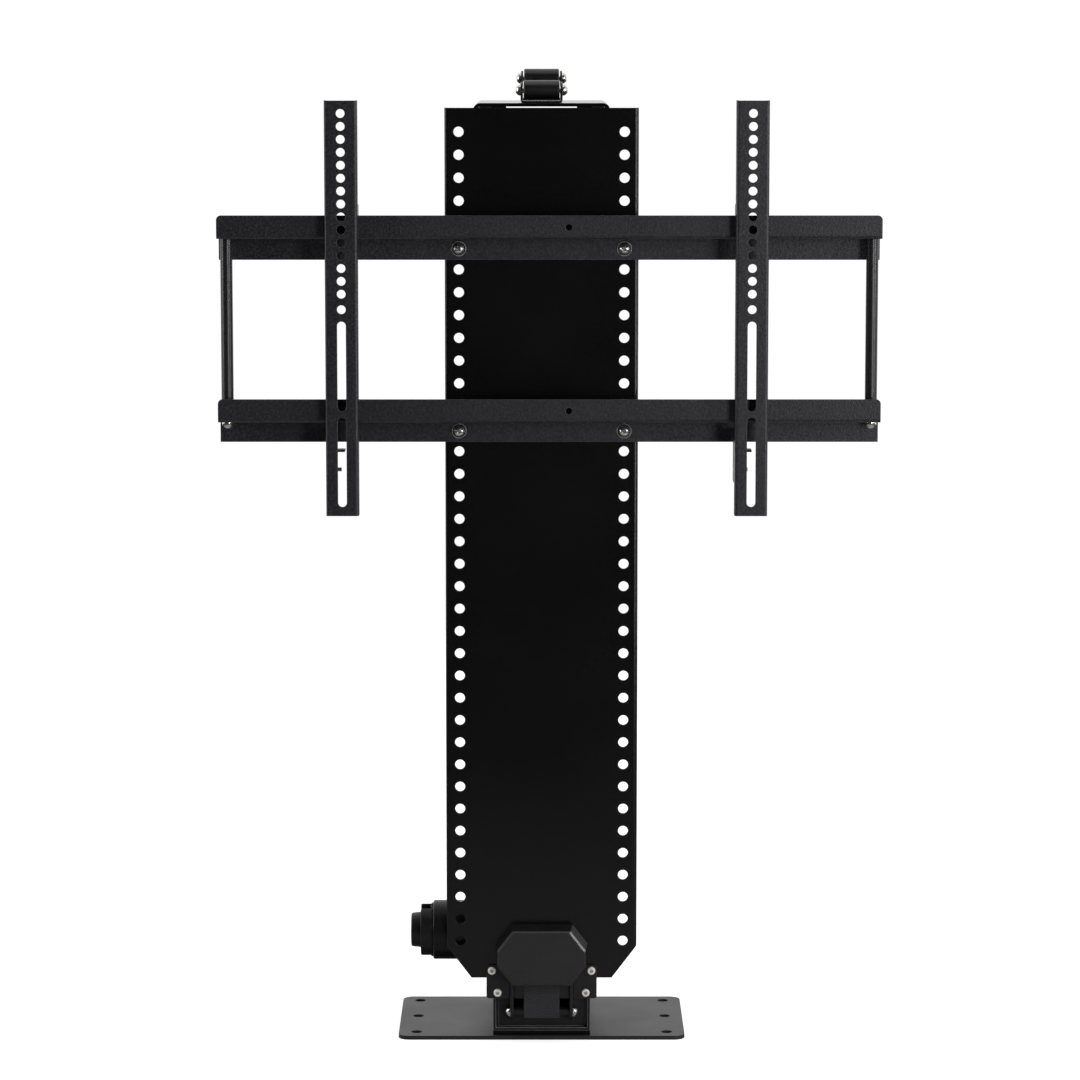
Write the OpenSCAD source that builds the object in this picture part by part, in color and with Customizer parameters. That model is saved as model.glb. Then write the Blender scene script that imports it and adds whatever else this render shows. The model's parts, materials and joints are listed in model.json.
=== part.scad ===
// Column lift for a television: a carriage on telescopic slides rises along a fixed column,
// drawn up by a flat belt that a tubular motor winds onto a drum.
// Millimetres, +Z up, the front faces -Y, the origin is the centre of the base plate's underside.

/* [Base] */
// Width of the base plate
base_w = 289; // [275:1:340]
// Depth of the base plate
base_d = 161; // [155:1:220]
// Thickness of the base plate
base_t = 4; // [3:0.5:8]
// Corner radius of the base plate
base_corner_r = 11; // [4:1:16]
// Diameter of the fixing holes in the base plate
base_hole_d = 11; // [6:0.5:14]
// Distance of the fixing holes from the left and right edges
base_hole_edge_x = 18; // [12:0.5:40]
// Distance of the fixing holes from the front and rear edges
base_hole_edge_y = 16.5; // [12:0.5:30]
// Height of the spacer under the foot
spacer_t = 4.5; // [2:0.5:8]
// Sheet thickness of the foot
foot_wall = 3; // [2:0.5:5]
// Height of the foot's side walls above its floor
foot_wall_h = 46.5; // [40:0.5:60]
// Setback of the foot's front edge behind the front plate's face
foot_setback = 4; // [4:0.5:10]

/* [Column and slides] */
// Sheet thickness of the column
column_wall = 2.5; // [2:0.5:4]
// Depth of the column, front to back
column_d = 82; // [74:1:90]
// Gap between the column's back and the carriage's rear lips
column_rear_gap = 5.75; // [3:0.25:8]
// Free height between the column's top and the front plate's top
column_headroom = 31.4; // [28:0.2:60]
// Thickness of a telescopic slide
slide_t = 19; // [18:0.5:22]
// Height of a slide's section
slide_h = 60; // [54:1:66]
// Length of a slide
slide_l = 800; // [700:5:820]
// Sheet thickness of a slide member
slide_wall = 2; // [1.5:0.1:2.5]
// Diameter of the slide balls
ball_d = 3.4; // [2.4:0.1:4]
// Balls along one cage strip
ball_count = 10; // [4:1:14]
// Length of a ball cage
cage_l = 350; // [250:5:400]

/* [Front plate] */
// Distance of the front plate's face ahead of the base centre
plate_ahead = 80; // [70:0.5:84]
// Width of the front plate
plate_w = 191; // [186:1:220]
// Height of the front plate
plate_h = 871.4; // [860:0.2:900]
// Sheet thickness of the front plate
plate_t = 3; // [2:0.5:4]
// Gap between the foot's walls and the front plate's lower edge
plate_gap = 6; // [3:0.5:12]
// Depth of the front plate's side flanges
plate_flange_d = 10; // [6:0.5:14]
// Outer bend radius of the side flanges
plate_bend_r = 3.5; // [2.5:0.1:5]
// Width of the clipped lower corners
corner_cut_w = 25; // [10:1:28]
// Height of the clipped lower corners
corner_cut_h = 33; // [10:1:34]
// Diameter of the holes in the front plate
plate_hole_d = 10; // [8:0.2:11]
// Holes in each column
plate_hole_count = 37; // [20:1:37]
// Pitch of the holes
plate_hole_pitch = 22.5; // [20:0.1:22.5]
// Distance between the two columns of holes
plate_hole_span = 163; // [158:0.5:166]
// Distance of the top hole below the plate's top edge
plate_hole_drop = 23.4; // [16:0.2:26]

/* [Carriage] */
// Width across the side channels and the top plate
carriage_w = 134.5; // [128:0.5:140]
// Sheet thickness of the side channels
channel_wall = 2.25; // [1.5:0.25:3]
// Depth of the side channels
channel_d = 155; // [150:1:160]
// Outer bend radius of the side channels
channel_bend_r = 4; // [3.5:0.5:6]
// Width of the front lip of a side channel
front_lip_w = 15; // [8:0.5:16]
// Clear width between the rear lips
rear_gap_w = 72; // [40:1:90]
// Gap between the front plate's top and the top plate's underside
top_gap = 1.1; // [0.5:0.1:4]
// Sheet thickness of the top plate
top_t = 3.4; // [2:0.2:4]
// Outer bend radius of the top plate
top_bend_r = 7; // [5:0.5:9]
// Length of the top plate's side legs below its underside
top_leg_h = 12; // [8:1:20]
// Room around the motor where the left side channel is notched
motor_room = 4; // [2:0.5:8]

/* [Rails] */
// Length of a rail
rail_l = 650; // [560:5:700]
// Offset of the rails to the right of the centre
rail_shift = 7.5; // [0:0.5:15]
// Depth of a rail, front to back
rail_d = 32; // [28:0.5:40]
// Height of a rail's back flange
rail_back_h = 24; // [21:0.5:32]
// Height of a rail's front lip
rail_lip_h = 23; // [16:0.5:26]
// Sheet thickness of a rail
rail_t = 2; // [1.5:0.1:2.5]
// Outer bend radius of a rail
rail_bend_r = 3.5; // [3:0.1:5]
// Radius of the upper corners at the ends of a front lip
rail_end_r = 4.5; // [2:0.5:8]
// Height of a rail's web above its bolts
rail_rise = 11; // [10:0.5:13]
// Row of holes that carries the upper rail, counted from the top hole
upper_row = 5; // [4:1:6]
// Row of holes that carries the lower rail, counted from the top hole
lower_row = 13; // [12:1:14]
// Diameter of the hole in the middle of a front lip
lip_hole_d = 6.4; // [4:0.2:8]
// Distance of that hole from the centre
lip_hole_x = 26.7; // [0:0.1:40]
// Diameter of the tie rods
rod_d = 12; // [9:0.2:14]
// Distance of a tie rod's axis from a rail's end
rod_inset = 8.5; // [7:0.5:20]
// Head height of the bolts in the tie rods
rod_head_h = 7.4; // [4:0.1:8]

/* [Television arms] */
// Width of an arm
arm_w = 32; // [30:0.5:40]
// Length of an arm
arm_l = 405; // [400:1:430]
// Depth of an arm's section
arm_d = 15.7; // [12:0.1:20]
// Sheet thickness of an arm
arm_t = 2; // [1.5:0.1:2.5]
// Outer bend radius of an arm
arm_bend_r = 2.6; // [2.5:0.1:4]
// Distance between the two arms' middle lines
arm_span = 400; // [300:1:420]
// Offset of the arms to the right of the centre
arm_shift = 5; // [0:0.5:10]
// Height of an arm's top above the upper rail
arm_rise = 111.7; // [100:0.1:115]
// Diameter of the arm's holes and width of its slots
arm_hole_d = 8.5; // [6.5:0.1:10]
// Round holes in the even row
arm_hole_count = 15; // [8:1:15]
// Pitch of the round holes
arm_hole_pitch = 12.5; // [11.5:0.1:12.5]
// Distance of the first hole below the arm's top
arm_hole_first = 12.4; // [8:0.1:12.4]
// Distance of the single last hole below the arm's top
arm_hole_last = 202.5; // [200:0.1:203]
// Start of the upper slot below the arm's top
slot_first = 214.2; // [212:0.1:216]
// Length of a slot
slot_l = 87.8; // [60:0.1:88]
// Start of the lower slot below the arm's top
slot_second = 308.2; // [306:0.1:309]
// Thickness of the lock tab
tab_t = 2; // [1.5:0.1:3]
// Diameter of the lock screw
lock_screw_d = 4; // [3:0.5:5]

/* [Motor, drum and belt] */
// Height of the motor's axis above the foot's floor
motor_h = 93.5; // [90:0.5:100]
// Diameter of the motor's body
motor_d = 59.7; // [54:0.1:61]
// Length of the motor's body
motor_l = 60.7; // [50:0.1:70]
// Diameter of the motor's collar
collar_d = 52; // [44:0.5:53]
// Length of the motor's collar
collar_l = 12.5; // [8:0.1:20]
// Diameter of the motor's end cap
cap_d = 36; // [28:0.5:40]
// Length of the motor's end cap
cap_l = 9.8; // [6:0.1:16]
// Thickness of the motor plate
motor_plate_t = 3; // [2:0.5:4]
// Diameter of the drum's shaft and of the top pulley's pin
shaft_d = 12; // [10:0.5:13]
// Radius at which the belt leaves the drum when the carriage is down
drum_wrap_r = 11.25; // [11:0.05:12]
// Radius of the bare drum
drum_core_r = 8; // [7.5:0.1:9]
// Radius of the drum's flanges
drum_flange_r = 23; // [18:0.5:24]
// Radius of the top pulley where the belt lies
pulley_r = 20; // [19:0.1:20.5]
// Height of the flanges on the top pulley
pulley_flange_h = 2.5; // [1:0.1:3]
// Width of the belt
belt_w = 36; // [24:0.5:40]
// Thickness of the belt
belt_t = 1.5; // [1:0.1:2]
// Gap between the belt and the front plate
belt_plate_gap = 3.75; // [3:0.05:5]

/* [Anchor and cover] */
// Width of the anchor plate
anchor_w = 111; // [106:0.5:120]
// Thickness of the anchor plate
anchor_t = 3; // [2:0.5:4]
// Radius of the anchor plate's lower corners
anchor_corner_r = 2.5; // [1:0.5:5]
// Depth of the anchor plate's lower edge below the front plate
anchor_below = 20.6; // [16:0.2:24]
// Height of the upper screws above the front plate's lower edge
anchor_screw_up = 8; // [6:0.5:12]
// Depth of the lower screws below the front plate's lower edge
anchor_screw_down = 14.7; // [10:0.1:16]
// Distance between the upper screws
upper_screw_span = 100; // [98:0.5:104]
// Distance between the lower screws
lower_screw_span = 88.6; // [84:0.2:92]
// Depth of the anchor pin below the front plate's lower edge
pin_below = 35.5; // [26:0.5:38]
// Clear width between the cheeks that hold the pin
cheek_gap = 56.6; // [44:0.2:60]
// Thickness of the cheeks
cheek_t = 3.1; // [2:0.1:4]
// Reach of the cheeks past the pin's axis
cheek_end_r = 8; // [7:0.5:11]
// Width of the cover's front face
cover_w = 88.4; // [80:0.2:92]
// Height of the cover's front face
cover_h = 55.6; // [46:0.2:60]
// Depth of the cover
cover_d = 24; // [18:0.5:30]
// Width of the cover's clipped corners
cover_clip_w = 15; // [8:0.5:18]
// Height of the cover's clipped corners
cover_clip_h = 19.5; // [8:0.5:20]
// Draft of the cover's sides
cover_draft = 2; // [0.5:0.1:3]
// Bevel round the cover's front face
cover_bevel = 1.6; // [0.5:0.1:3]
// Wall of the cover
cover_wall = 2; // [1.2:0.1:3]
// Height of the cover's middle above the front plate's lower edge
cover_up = 25; // [24:0.5:30]

/* [Lid rollers] */
// Width across a roller bracket
lid_bracket_w = 41.4; // [34:0.2:50]
// Sheet thickness of a roller bracket
lid_bracket_t = 2; // [1.5:0.1:2.5]
// Outer bend radius of a roller bracket
lid_bend_r = 3.5; // [2.6:0.1:4]
// Half depth of a roller bracket
lid_bracket_r = 7.5; // [6.5:0.1:9]
// Diameter of the lid rollers
lid_roller_d = 19; // [16:0.5:20]
// Height of the front roller's axis above the top plate
lid_front_h = 12.6; // [12.4:0.1:16]
// Height of the rear roller's axis above the top plate
lid_rear_h = 22.6; // [18:0.1:28]
// Distance between the two rollers' axes
lid_roller_span = 120; // [60:1:130]

/* [Fasteners and fits] */
// Thread diameter of the rail bolts, the rod bolts and the lid axles
bolt_d = 6; // [5:0.5:6]
// Head diameter of the rail bolts
rail_head_d = 10.6; // [10:0.1:12]
// Head height of the rail bolts
rail_head_h = 4.2; // [3:0.1:5]
// Outer diameter of the rail washers
washer_d = 14.3; // [12:0.1:16]
// Thickness of the rail washers
washer_t = 1.2; // [0.8:0.1:2]
// Head diameter of the rod bolts, the lid axles and the pin bolts
dome_d = 11.4; // [9:0.1:12]
// Head height of the lid axles and the pin bolts
dome_h = 5.4; // [3:0.1:5.8]
// Width across flats of the rail nuts
nut_af = 10; // [8:0.5:11]
// Thread diameter of the small screws
screw_d = 4; // [3:0.5:4]
// Head diameter of the small screws
screw_head_d = 8; // [6:0.1:9]
// Head height of the small screws
screw_head_h = 2.6; // [2:0.1:4]
// Width across flats of the foot bolts
foot_bolt_af = 13; // [10:0.5:14]
// Radial clearance of a turning shaft
run_fit = 0.05; // [0.02:0.01:0.09]
// Radial clearance of a screw in its hole
screw_fit = 0.2; // [0.1:0.05:0.3]
// Gap between sliding pieces
slide_fit = 0.3; // [0.2:0.05:0.5]

/* [Hidden] */
$fn = 64;
past = 1;
sheet_black = "#17171a";
coat_black = "#25252a";
plastic_black = "#1b1b1d";
webbing_black = "#101012";
nickel = "#c9c7c2";
zinc = "#a9abae";

base_hole_span_x = base_w - 2 * base_hole_edge_x;
base_hole_span_y = base_d - 2 * base_hole_edge_y;
foot_floor_z = base_t + spacer_t + foot_wall;
foot_top_z = foot_floor_z + foot_wall_h;
plate_bottom_z = foot_top_z + plate_gap;
plate_top_z = plate_bottom_z + plate_h;
plate_front_y = -plate_ahead;
plate_rear_y = plate_front_y + plate_t;

carriage_r = carriage_w / 2;
channel_rear_y = plate_rear_y + channel_d;
channel_mid_y = plate_rear_y + channel_d / 2;
channel_in_x = carriage_r - channel_wall;
top_under_z = plate_top_z + top_gap;
top_z = top_under_z + top_t;
top_front_inset = 1;
top_rear_overhang = 2;

column_x = channel_in_x - slide_t;
column_top_z = plate_top_z - column_headroom;
column_rear_y = channel_rear_y - channel_wall - column_rear_gap;
column_front_y = column_rear_y - column_d;
column_mid_y = column_rear_y - column_d / 2;
column_bend_r = column_wall + 1.5;
foot_x = column_x + foot_wall;
foot_front_y = plate_front_y + foot_setback;
foot_rear_margin = 4;
foot_rear_y = column_rear_y + foot_rear_margin;
spacer_inset = 1;
foot_bolt_d = 8;
foot_bolt_head_h = 5.3;
foot_bolt_x = column_x / 2;
foot_bolt_inset = 20;

slide_up = 16;
slide_bottom_z = plate_bottom_z + slide_up;
ball_lane = ball_d + 2 * slide_fit;
outer_half = slide_h / 2;
mid_half = outer_half - slide_wall - ball_lane;
inner_half = mid_half - slide_wall - ball_lane;
mid_web_x = column_x + 2 * slide_wall;
inner_tip_x = mid_web_x + 2 * slide_wall;
ball_inset = 4;
ball_x = inner_tip_x + ball_inset;
cage_strip_w = 7;
cage_strip_t = 0.8;
cage_bottom_z = slide_bottom_z + (slide_l - cage_l) / 2;

belt_front_y = plate_rear_y + belt_plate_gap + belt_t / 2;
pulley_y = belt_front_y + belt_t / 2 + pulley_r;
pulley_drop = 14;
pulley_z = column_top_z - pulley_drop;
pulley_flange_t = 1.5;
belt_side_gap = 0.5;
pulley_half = belt_w / 2 + belt_side_gap + pulley_flange_t;
belt_rear_y = pulley_y + pulley_r + belt_t / 2;
drum_y = belt_rear_y - belt_t / 2 - drum_wrap_r;
drum_flange_t = 2;
drum_half = belt_w / 2 + belt_side_gap + drum_flange_t;
drum_end_gap = 2;
drum_hub_x = column_x - column_wall - drum_end_gap;
shaft_r = shaft_d / 2;
bush_wall = 3;
bush_r = shaft_r + bush_wall;
bush_flange_t = 2;
bush_flange_r = bush_r + bush_wall;
motor_z = foot_floor_z + motor_h;
motor_r = motor_d / 2;
motor_right_x = -column_x - motor_plate_t;
motor_left_x = motor_right_x - motor_l;
collar_left_x = motor_left_x - collar_l;
motor_shaft_in = 12;
motor_screw_at = 0.8 * motor_r;
motor_screw_head_d = 6.8;
motor_plate_corner_r = 3;
motor_edge_r = 2;
collar_edge_r = 1;
cap_taper = 1;
cap_bevel = 1;
ear_plate_gap = 7;
ear_front_y = plate_rear_y + ear_plate_gap;
ear_rise = 45;
ear_top_z = motor_z + ear_rise;
pulley_ear_h = 28;
shaft_pass_r = bush_flange_r;
inlet_w = 13.5;
inlet_deep = 5;
inlet_forward = 3.75;
inlet_end = 2;
pin_cap_reach = 3;
pin_cap_t = 2;
pulley_spacer_wall = 2.5;

notch_top_z = motor_z + motor_r + motor_room;
notch_rear_y = drum_y + motor_r + motor_room;
flange_above_notch = 10;
left_flange_z = notch_top_z + flange_above_notch;

bolt_r = bolt_d / 2;
bolt_drop = plate_hole_d / 2 - bolt_r - screw_fit / 2;
rail_front_y = plate_front_y - rail_d;
rail_left_x = rail_shift - rail_l / 2;
rail_right_x = rail_shift + rail_l / 2;
function bolt_z(row) = plate_top_z - plate_hole_drop - row * plate_hole_pitch - bolt_drop;
function rail_web_z(row) = bolt_z(row) + rail_rise;
upper_web_z = rail_web_z(upper_row);
upper_top_z = upper_web_z + rail_lip_h;
lower_web_z = rail_web_z(lower_row);
rod_y = plate_front_y - rail_d / 2;
rod_xs = [rail_left_x + rod_inset, rail_right_x - rod_inset];
rod_low_z = lower_web_z + rail_t;
rod_thread_l = 16;
nut_h = 5;
nut_flange_h = 1.5;
thread_past = 2;

arm_top_z = upper_top_z + arm_rise;
arm_front_y = rail_front_y - slide_fit - arm_d;
arm_in_x = arm_w / 2 - arm_t;
hook_h = 10;
hook_drop = 8;
hook_reach = 14;
hook_front_y = rail_front_y + rail_t + slide_fit;
hook_rear_y = rail_front_y + hook_reach;
ear_clear = 2.5;
ear_h = 52;
arm_ear_top_z = lower_web_z - rod_head_h - slide_fit;
arm_ear_rear_y = plate_front_y - rail_t - ear_clear;
tab_below_web = 27.5;
tab_z = lower_web_z - tab_below_web;
tab_drop = 28;
tab_past_mid = 1.5;
tab_reach = arm_in_x + tab_past_mid;
tab_d = 16;
tab_mid_y = (arm_ear_rear_y + rail_front_y) / 2;
lock_screw_drop = 20;
lock_screw_z = tab_z - lock_screw_drop;
lock_screw_short = 2;
lock_screw_l = arm_w / 2 - lock_screw_short;
lock_socket_deep = 2;

anchor_front_y = plate_front_y - anchor_t;
anchor_bottom_z = plate_bottom_z - anchor_below;
upper_screw_z = plate_bottom_z + anchor_screw_up;
lower_screw_z = plate_bottom_z - anchor_screw_down;
anchor_ear_r = (anchor_w - upper_screw_span) / 2;
tail_y = anchor_front_y - belt_t / 2;
pin_y = (belt_front_y + tail_y) / 2;
pin_bend_r = (belt_front_y - tail_y) / 2;
pin_r = pin_bend_r - belt_t / 2;
pin_z = plate_bottom_z - pin_below;
cheek_in_x = cheek_gap / 2;
cheek_out_x = cheek_in_x + cheek_t;
cheek_plate_gap = 1.5;
cheek_top_z = plate_bottom_z - cheek_plate_gap;
bracket_flange_t = 2.5;
bracket_flange_short = 1;
pin_bolt_d = 5;
pin_bolt_l = 12;
foot_web_clear = 1;
foot_web_y = pin_y + cheek_end_r + foot_web_clear;
foot_web_x = column_x - column_wall;
belt_join_drop = 2;
belt_join_z = plate_bottom_z - belt_join_drop;
clamp_h = 10;
clamp_t = 3;
clamp_up = 6;
clamp_z = plate_bottom_z + clamp_up;
clamp_end = 9;
clamp_w = belt_w + 2 * clamp_end;
clamp_screw_x = belt_w / 2 + clamp_end / 2;
clamp_pad_w = 6;
clamp_corner_r = 2;
clamp_front_y = anchor_front_y - belt_t - clamp_t;
tail_past_clamp = 1;
tail_top_z = clamp_z + clamp_h / 2 + tail_past_clamp;
cover_mid_z = plate_bottom_z + cover_up;
cover_mouth_room = 1;
cover_mouth_w = max(clamp_w, 2 * cheek_out_x) + 2 * cover_mouth_room;
cover_front_d = 10;
cover_mouth_d = cover_d - cover_front_d;

lid_roller_r = lid_roller_d / 2;
lid_side_gap = 1;
lid_roller_half = lid_bracket_w / 2 - lid_bracket_t - lid_side_gap;
lid_mid_y = 0;
lid_roller_edge = 0.8;
lid_pin_l = 10;
lid_ys = [lid_mid_y - lid_roller_span / 2, lid_mid_y + lid_roller_span / 2];
lid_hs = [lid_front_h, lid_rear_h];

// Shared shapes

// A rectangle with round corners, centred
module round_rect(w, h, r) {
    square([w - 2 * r, h], center = true);
    square([w, h - 2 * r], center = true);
    for (x = [-1, 1], y = [-1, 1]) translate([x * (w / 2 - r), y * (h / 2 - r)]) circle(r);
}

// A rectangle from y = 0 to d whose two corners at y = 0 are round
module round_front(w, d, r) {
    translate([-w / 2, r]) square([w, d - r]);
    translate([r - w / 2, 0]) square([w - 2 * r, d]);
    for (x = [-1, 1]) translate([x * (w / 2 - r), r]) circle(r);
}

// A bent sheet: web at y = 0, flanges up to y = d, outer bend radius r
module bent_u(w, d, t, r) {
    difference() {
        round_front(w, d, r);
        translate([0, t]) {
            if (r - t > 0.05) round_front(w - 2 * t, d, r - t);
            else translate([t - w / 2, 0]) square([w - 2 * t, d]);
        }
    }
}

// A rectangle from the origin, with a round corner there
module round_corner(w, h, r) {
    translate([r, 0]) square([w - r, h]);
    translate([0, r]) square([w, h - r]);
    translate([r, r]) circle(r);
}

// A bent sheet: two legs along the axes, outer bend radius r at the origin
module bent_l(w, h, t, r) {
    difference() {
        round_corner(w, h, r);
        translate([t, t]) round_corner(w, h, r - t);
    }
}

// Extrudes an outline drawn in X and Z from y back by d
module along_y(y, d) {
    translate([0, y + d, 0]) rotate([90, 0, 0]) linear_extrude(d) children();
}

// Extrudes an outline drawn in Y and Z from x to the right by w
module along_x(x, w) {
    translate([x, 0, 0]) rotate([90, 0, 90]) linear_extrude(w) children();
}

// A round bar along X that starts at x
module bar_x(x, y, z, r, l) {
    translate([x, y, z]) rotate([0, 90, 0]) cylinder(r = r, h = l);
}

// A round bar along Y that starts at y and runs back
module bar_y(x, y, z, r, l) {
    translate([x, y + l, z]) rotate([90, 0, 0]) cylinder(r = r, h = l);
}

// Shows a piece on the right as it is drawn, or mirrored to the left
module on_side(side) {
    if (side > 0) children();
    else mirror([1, 0, 0]) children();
}

// A dome-head bolt: the head stands up from z = 0, the shank goes down
module dome_bolt(head_d, head_h, shank_d, shank_l) {
    rim = 0.2 * head_h;
    rise = head_h - rim;
    ball_r = (head_d * head_d / 4 + rise * rise) / (2 * rise);
    socket_d = 0.42 * head_d;
    difference() {
        union() {
            intersection() {
                translate([0, 0, head_h - ball_r]) sphere(ball_r);
                translate([0, 0, rim]) cylinder(d = head_d + past, h = head_h);
            }
            cylinder(d = head_d, h = rim);
            translate([0, 0, -shank_l]) cylinder(d = shank_d, h = shank_l + rim);
        }
        translate([0, 0, head_h / 2]) cylinder(d = socket_d, h = head_h, $fn = 6);
    }
}

// A pan-head screw with a hex socket: the head stands up from z = 0
module pan_screw(head_d, head_h, shank_d, shank_l) {
    side_h = 0.6 * head_h;
    top_d = 0.8 * head_d;
    socket_d = 0.45 * head_d;
    difference() {
        union() {
            cylinder(d = head_d, h = side_h);
            translate([0, 0, side_h]) cylinder(d1 = head_d, d2 = top_d, h = head_h - side_h);
            translate([0, 0, -shank_l]) cylinder(d = shank_d, h = shank_l + head_h / 4);
        }
        translate([0, 0, head_h / 2]) cylinder(d = socket_d, h = head_h, $fn = 6);
    }
}

// Base

module base_plate() {
    color("#2c2c2f") difference() {
        linear_extrude(base_t) round_rect(base_w, base_d, base_corner_r);
        for (x = [-1, 1], y = [-1, 0, 1])
            translate([x * base_hole_span_x / 2, y * base_hole_span_y / 2, -past])
                cylinder(d = base_hole_d, h = base_t + 2 * past);
        foot_bolt_places() translate([0, 0, past]) cylinder(d = foot_bolt_d, h = base_t);
    }
}

module foot_bolt_places() {
    for (x = [-1, 1], y = [column_front_y + foot_bolt_inset, column_rear_y - foot_bolt_inset])
        translate([x * foot_bolt_x, y, 0]) children();
}

module foot_spacer() {
    color(sheet_black) difference() {
        translate([-foot_x, foot_front_y + spacer_inset, base_t])
            cube([2 * foot_x, foot_rear_y - foot_front_y - 2 * spacer_inset, spacer_t]);
        foot_bolt_places() translate([0, 0, base_t - past])
            cylinder(d = foot_bolt_d + 2 * screw_fit, h = spacer_t + 2 * past);
    }
}

module foot() {
    color(sheet_black) difference() {
        union() {
            along_y(foot_front_y, foot_rear_y - foot_front_y)
                translate([0, base_t + spacer_t])
                    bent_u(2 * foot_x, foot_wall + foot_wall_h, foot_wall, foot_wall);
            along_y(foot_web_y, foot_wall) foot_web();
        }
        foot_bolt_places() translate([0, 0, base_t])
            cylinder(d = foot_bolt_d + 2 * screw_fit, h = foot_floor_z);
    }
}

// Outline of the web that closes the foot behind the cross pin, open in the middle for the belt
module foot_web() {
    difference() {
        translate([-foot_web_x, foot_floor_z - past]) square([2 * foot_web_x, foot_wall_h + past]);
        translate([-cheek_in_x, pin_z]) square([2 * cheek_in_x, foot_top_z]);
    }
}

module foot_bolts() {
    color(zinc) foot_bolt_places() {
        translate([0, 0, foot_floor_z]) cylinder(d = foot_bolt_af / cos(30), h = foot_bolt_head_h, $fn = 6);
        translate([0, 0, past]) cylinder(d = foot_bolt_d, h = foot_floor_z);
    }
}

module column() {
    color(sheet_black) difference() {
        union() {
            translate([0, column_rear_y, foot_floor_z]) linear_extrude(column_top_z - foot_floor_z)
                mirror([0, 1]) bent_u(2 * column_x, column_d, column_wall, column_bend_r);
            for (side = [-1, 1]) on_side(side) {
                column_ear(foot_floor_z, ear_top_z);
                column_ear(pulley_z - pulley_ear_h, column_top_z);
            }
        }
        bar_x(-column_x - past, drum_y, motor_z, shaft_pass_r, column_wall + 2 * past);
        bar_x(column_x - column_wall - past, drum_y, motor_z, bush_r, column_wall + 2 * past);
        bar_x(-column_x - past, pulley_y, pulley_z, shaft_r, 2 * column_x + 2 * past);
        motor_screw_places() bar_x(-column_x - past, 0, 0, screw_d / 2, column_wall + 2 * past);
    }
}

// A forward ear of the column's right wall
module column_ear(low_z, high_z) {
    translate([column_x - column_wall, ear_front_y, low_z])
        cube([column_wall, column_front_y - ear_front_y + past, high_z - low_z]);
}

// Slides

// One slide member: a C section with its web at web_x and its flange tips at tip_x
module slide_member(web_x, tip_x, half) {
    low_x = min(web_x, tip_x);
    inset = web_x < tip_x ? slide_wall : -slide_wall;
    translate([0, column_mid_y, slide_bottom_z]) linear_extrude(slide_l) difference() {
        translate([low_x, -half]) square([abs(tip_x - web_x), 2 * half]);
        translate([low_x + inset, slide_wall - half])
            square([abs(tip_x - web_x), 2 * (half - slide_wall)]);
    }
}

module slide_outer(side) {
    color(zinc) on_side(side)
        slide_member(column_x, channel_in_x - slide_wall, outer_half);
}

module slide_mid(side) {
    color(zinc) on_side(side)
        slide_member(mid_web_x, channel_in_x - 1.5 * slide_wall, mid_half);
}

module slide_inner(side) {
    color(zinc) on_side(side) slide_member(channel_in_x, inner_tip_x, inner_half);
}

// Two strips with a row of balls each, in the lanes outside a member of this half height
module ball_cage(side, half) {
    pitch = cage_l / ball_count;
    color("#8d8f92") on_side(side) for (way = [-1, 1])
        translate([ball_x, column_mid_y + way * (half + ball_lane / 2), cage_bottom_z]) {
            translate([-cage_strip_w / 2, -cage_strip_t / 2, 0])
                cube([cage_strip_w, cage_strip_t, cage_l]);
            for (i = [0 : ball_count - 1]) translate([0, 0, (i + 0.5) * pitch]) sphere(d = ball_d);
        }
}

// Motor and drum

module motor_screw_places() {
    for (y = [-1, 1], z = [-1, 1])
        translate([0, drum_y + y * motor_screw_at, motor_z + z * motor_screw_at]) children();
}

module motor_plate() {
    color(sheet_black) difference() {
        along_x(motor_right_x, motor_plate_t) translate([drum_y, motor_z])
            round_rect(motor_d, motor_d, motor_plate_corner_r);
        bar_x(motor_right_x - past, drum_y, motor_z, shaft_pass_r, motor_plate_t + 2 * past);
        motor_screw_places()
            bar_x(motor_right_x - past, 0, 0, screw_d / 2 + screw_fit, motor_plate_t + 2 * past);
    }
}

module motor_screws() {
    color(zinc) motor_screw_places() translate([motor_right_x, 0, 0]) rotate([0, -90, 0])
        pan_screw(motor_screw_head_d, screw_head_h, screw_d, motor_plate_t + column_wall);
}

// A turned piece along X with its right end at x, length l, and a round left edge
module turned_left(x, r, l, edge_r) {
    translate([x, drum_y, motor_z]) rotate([0, -90, 0]) rotate_extrude() {
        square([r, l - edge_r]);
        square([r - edge_r, l]);
        translate([r - edge_r, l - edge_r]) intersection() {
            circle(edge_r);
            square(edge_r);
        }
    }
}

module motor_head() {
    color(plastic_black) difference() {
        turned_left(motor_right_x, motor_r, motor_l, motor_edge_r);
        bar_x(motor_right_x - motor_shaft_in, drum_y, motor_z, shaft_r + run_fit, motor_shaft_in + past);
    }
}

module motor_collar() {
    color(plastic_black) difference() {
        turned_left(motor_left_x, collar_d / 2, collar_l, collar_edge_r);
        translate([collar_left_x - past, drum_y - inlet_forward - inlet_w / 2,
                   motor_z + collar_d / 2 - inlet_deep])
            cube([collar_l - inlet_end + past, inlet_w, inlet_deep + past]);
    }
}

module motor_cap() {
    side_l = cap_l - cap_bevel;
    end_d = cap_d - 2 * cap_taper;
    color(plastic_black) translate([collar_left_x, drum_y, motor_z]) rotate([0, -90, 0]) {
        cylinder(d1 = cap_d, d2 = end_d, h = side_l);
        translate([0, 0, side_l]) cylinder(d1 = end_d, d2 = end_d - 2 * cap_bevel, h = cap_bevel);
    }
}

module idler_bush() {
    bush_left_x = column_x - column_wall;
    color("#b08d57") difference() {
        union() {
            bar_x(bush_left_x, drum_y, motor_z, bush_r, column_wall);
            bar_x(column_x, drum_y, motor_z, bush_flange_r, bush_flange_t);
        }
        bar_x(bush_left_x - past, drum_y, motor_z, shaft_r + run_fit,
              column_wall + bush_flange_t + 2 * past);
    }
}

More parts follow.
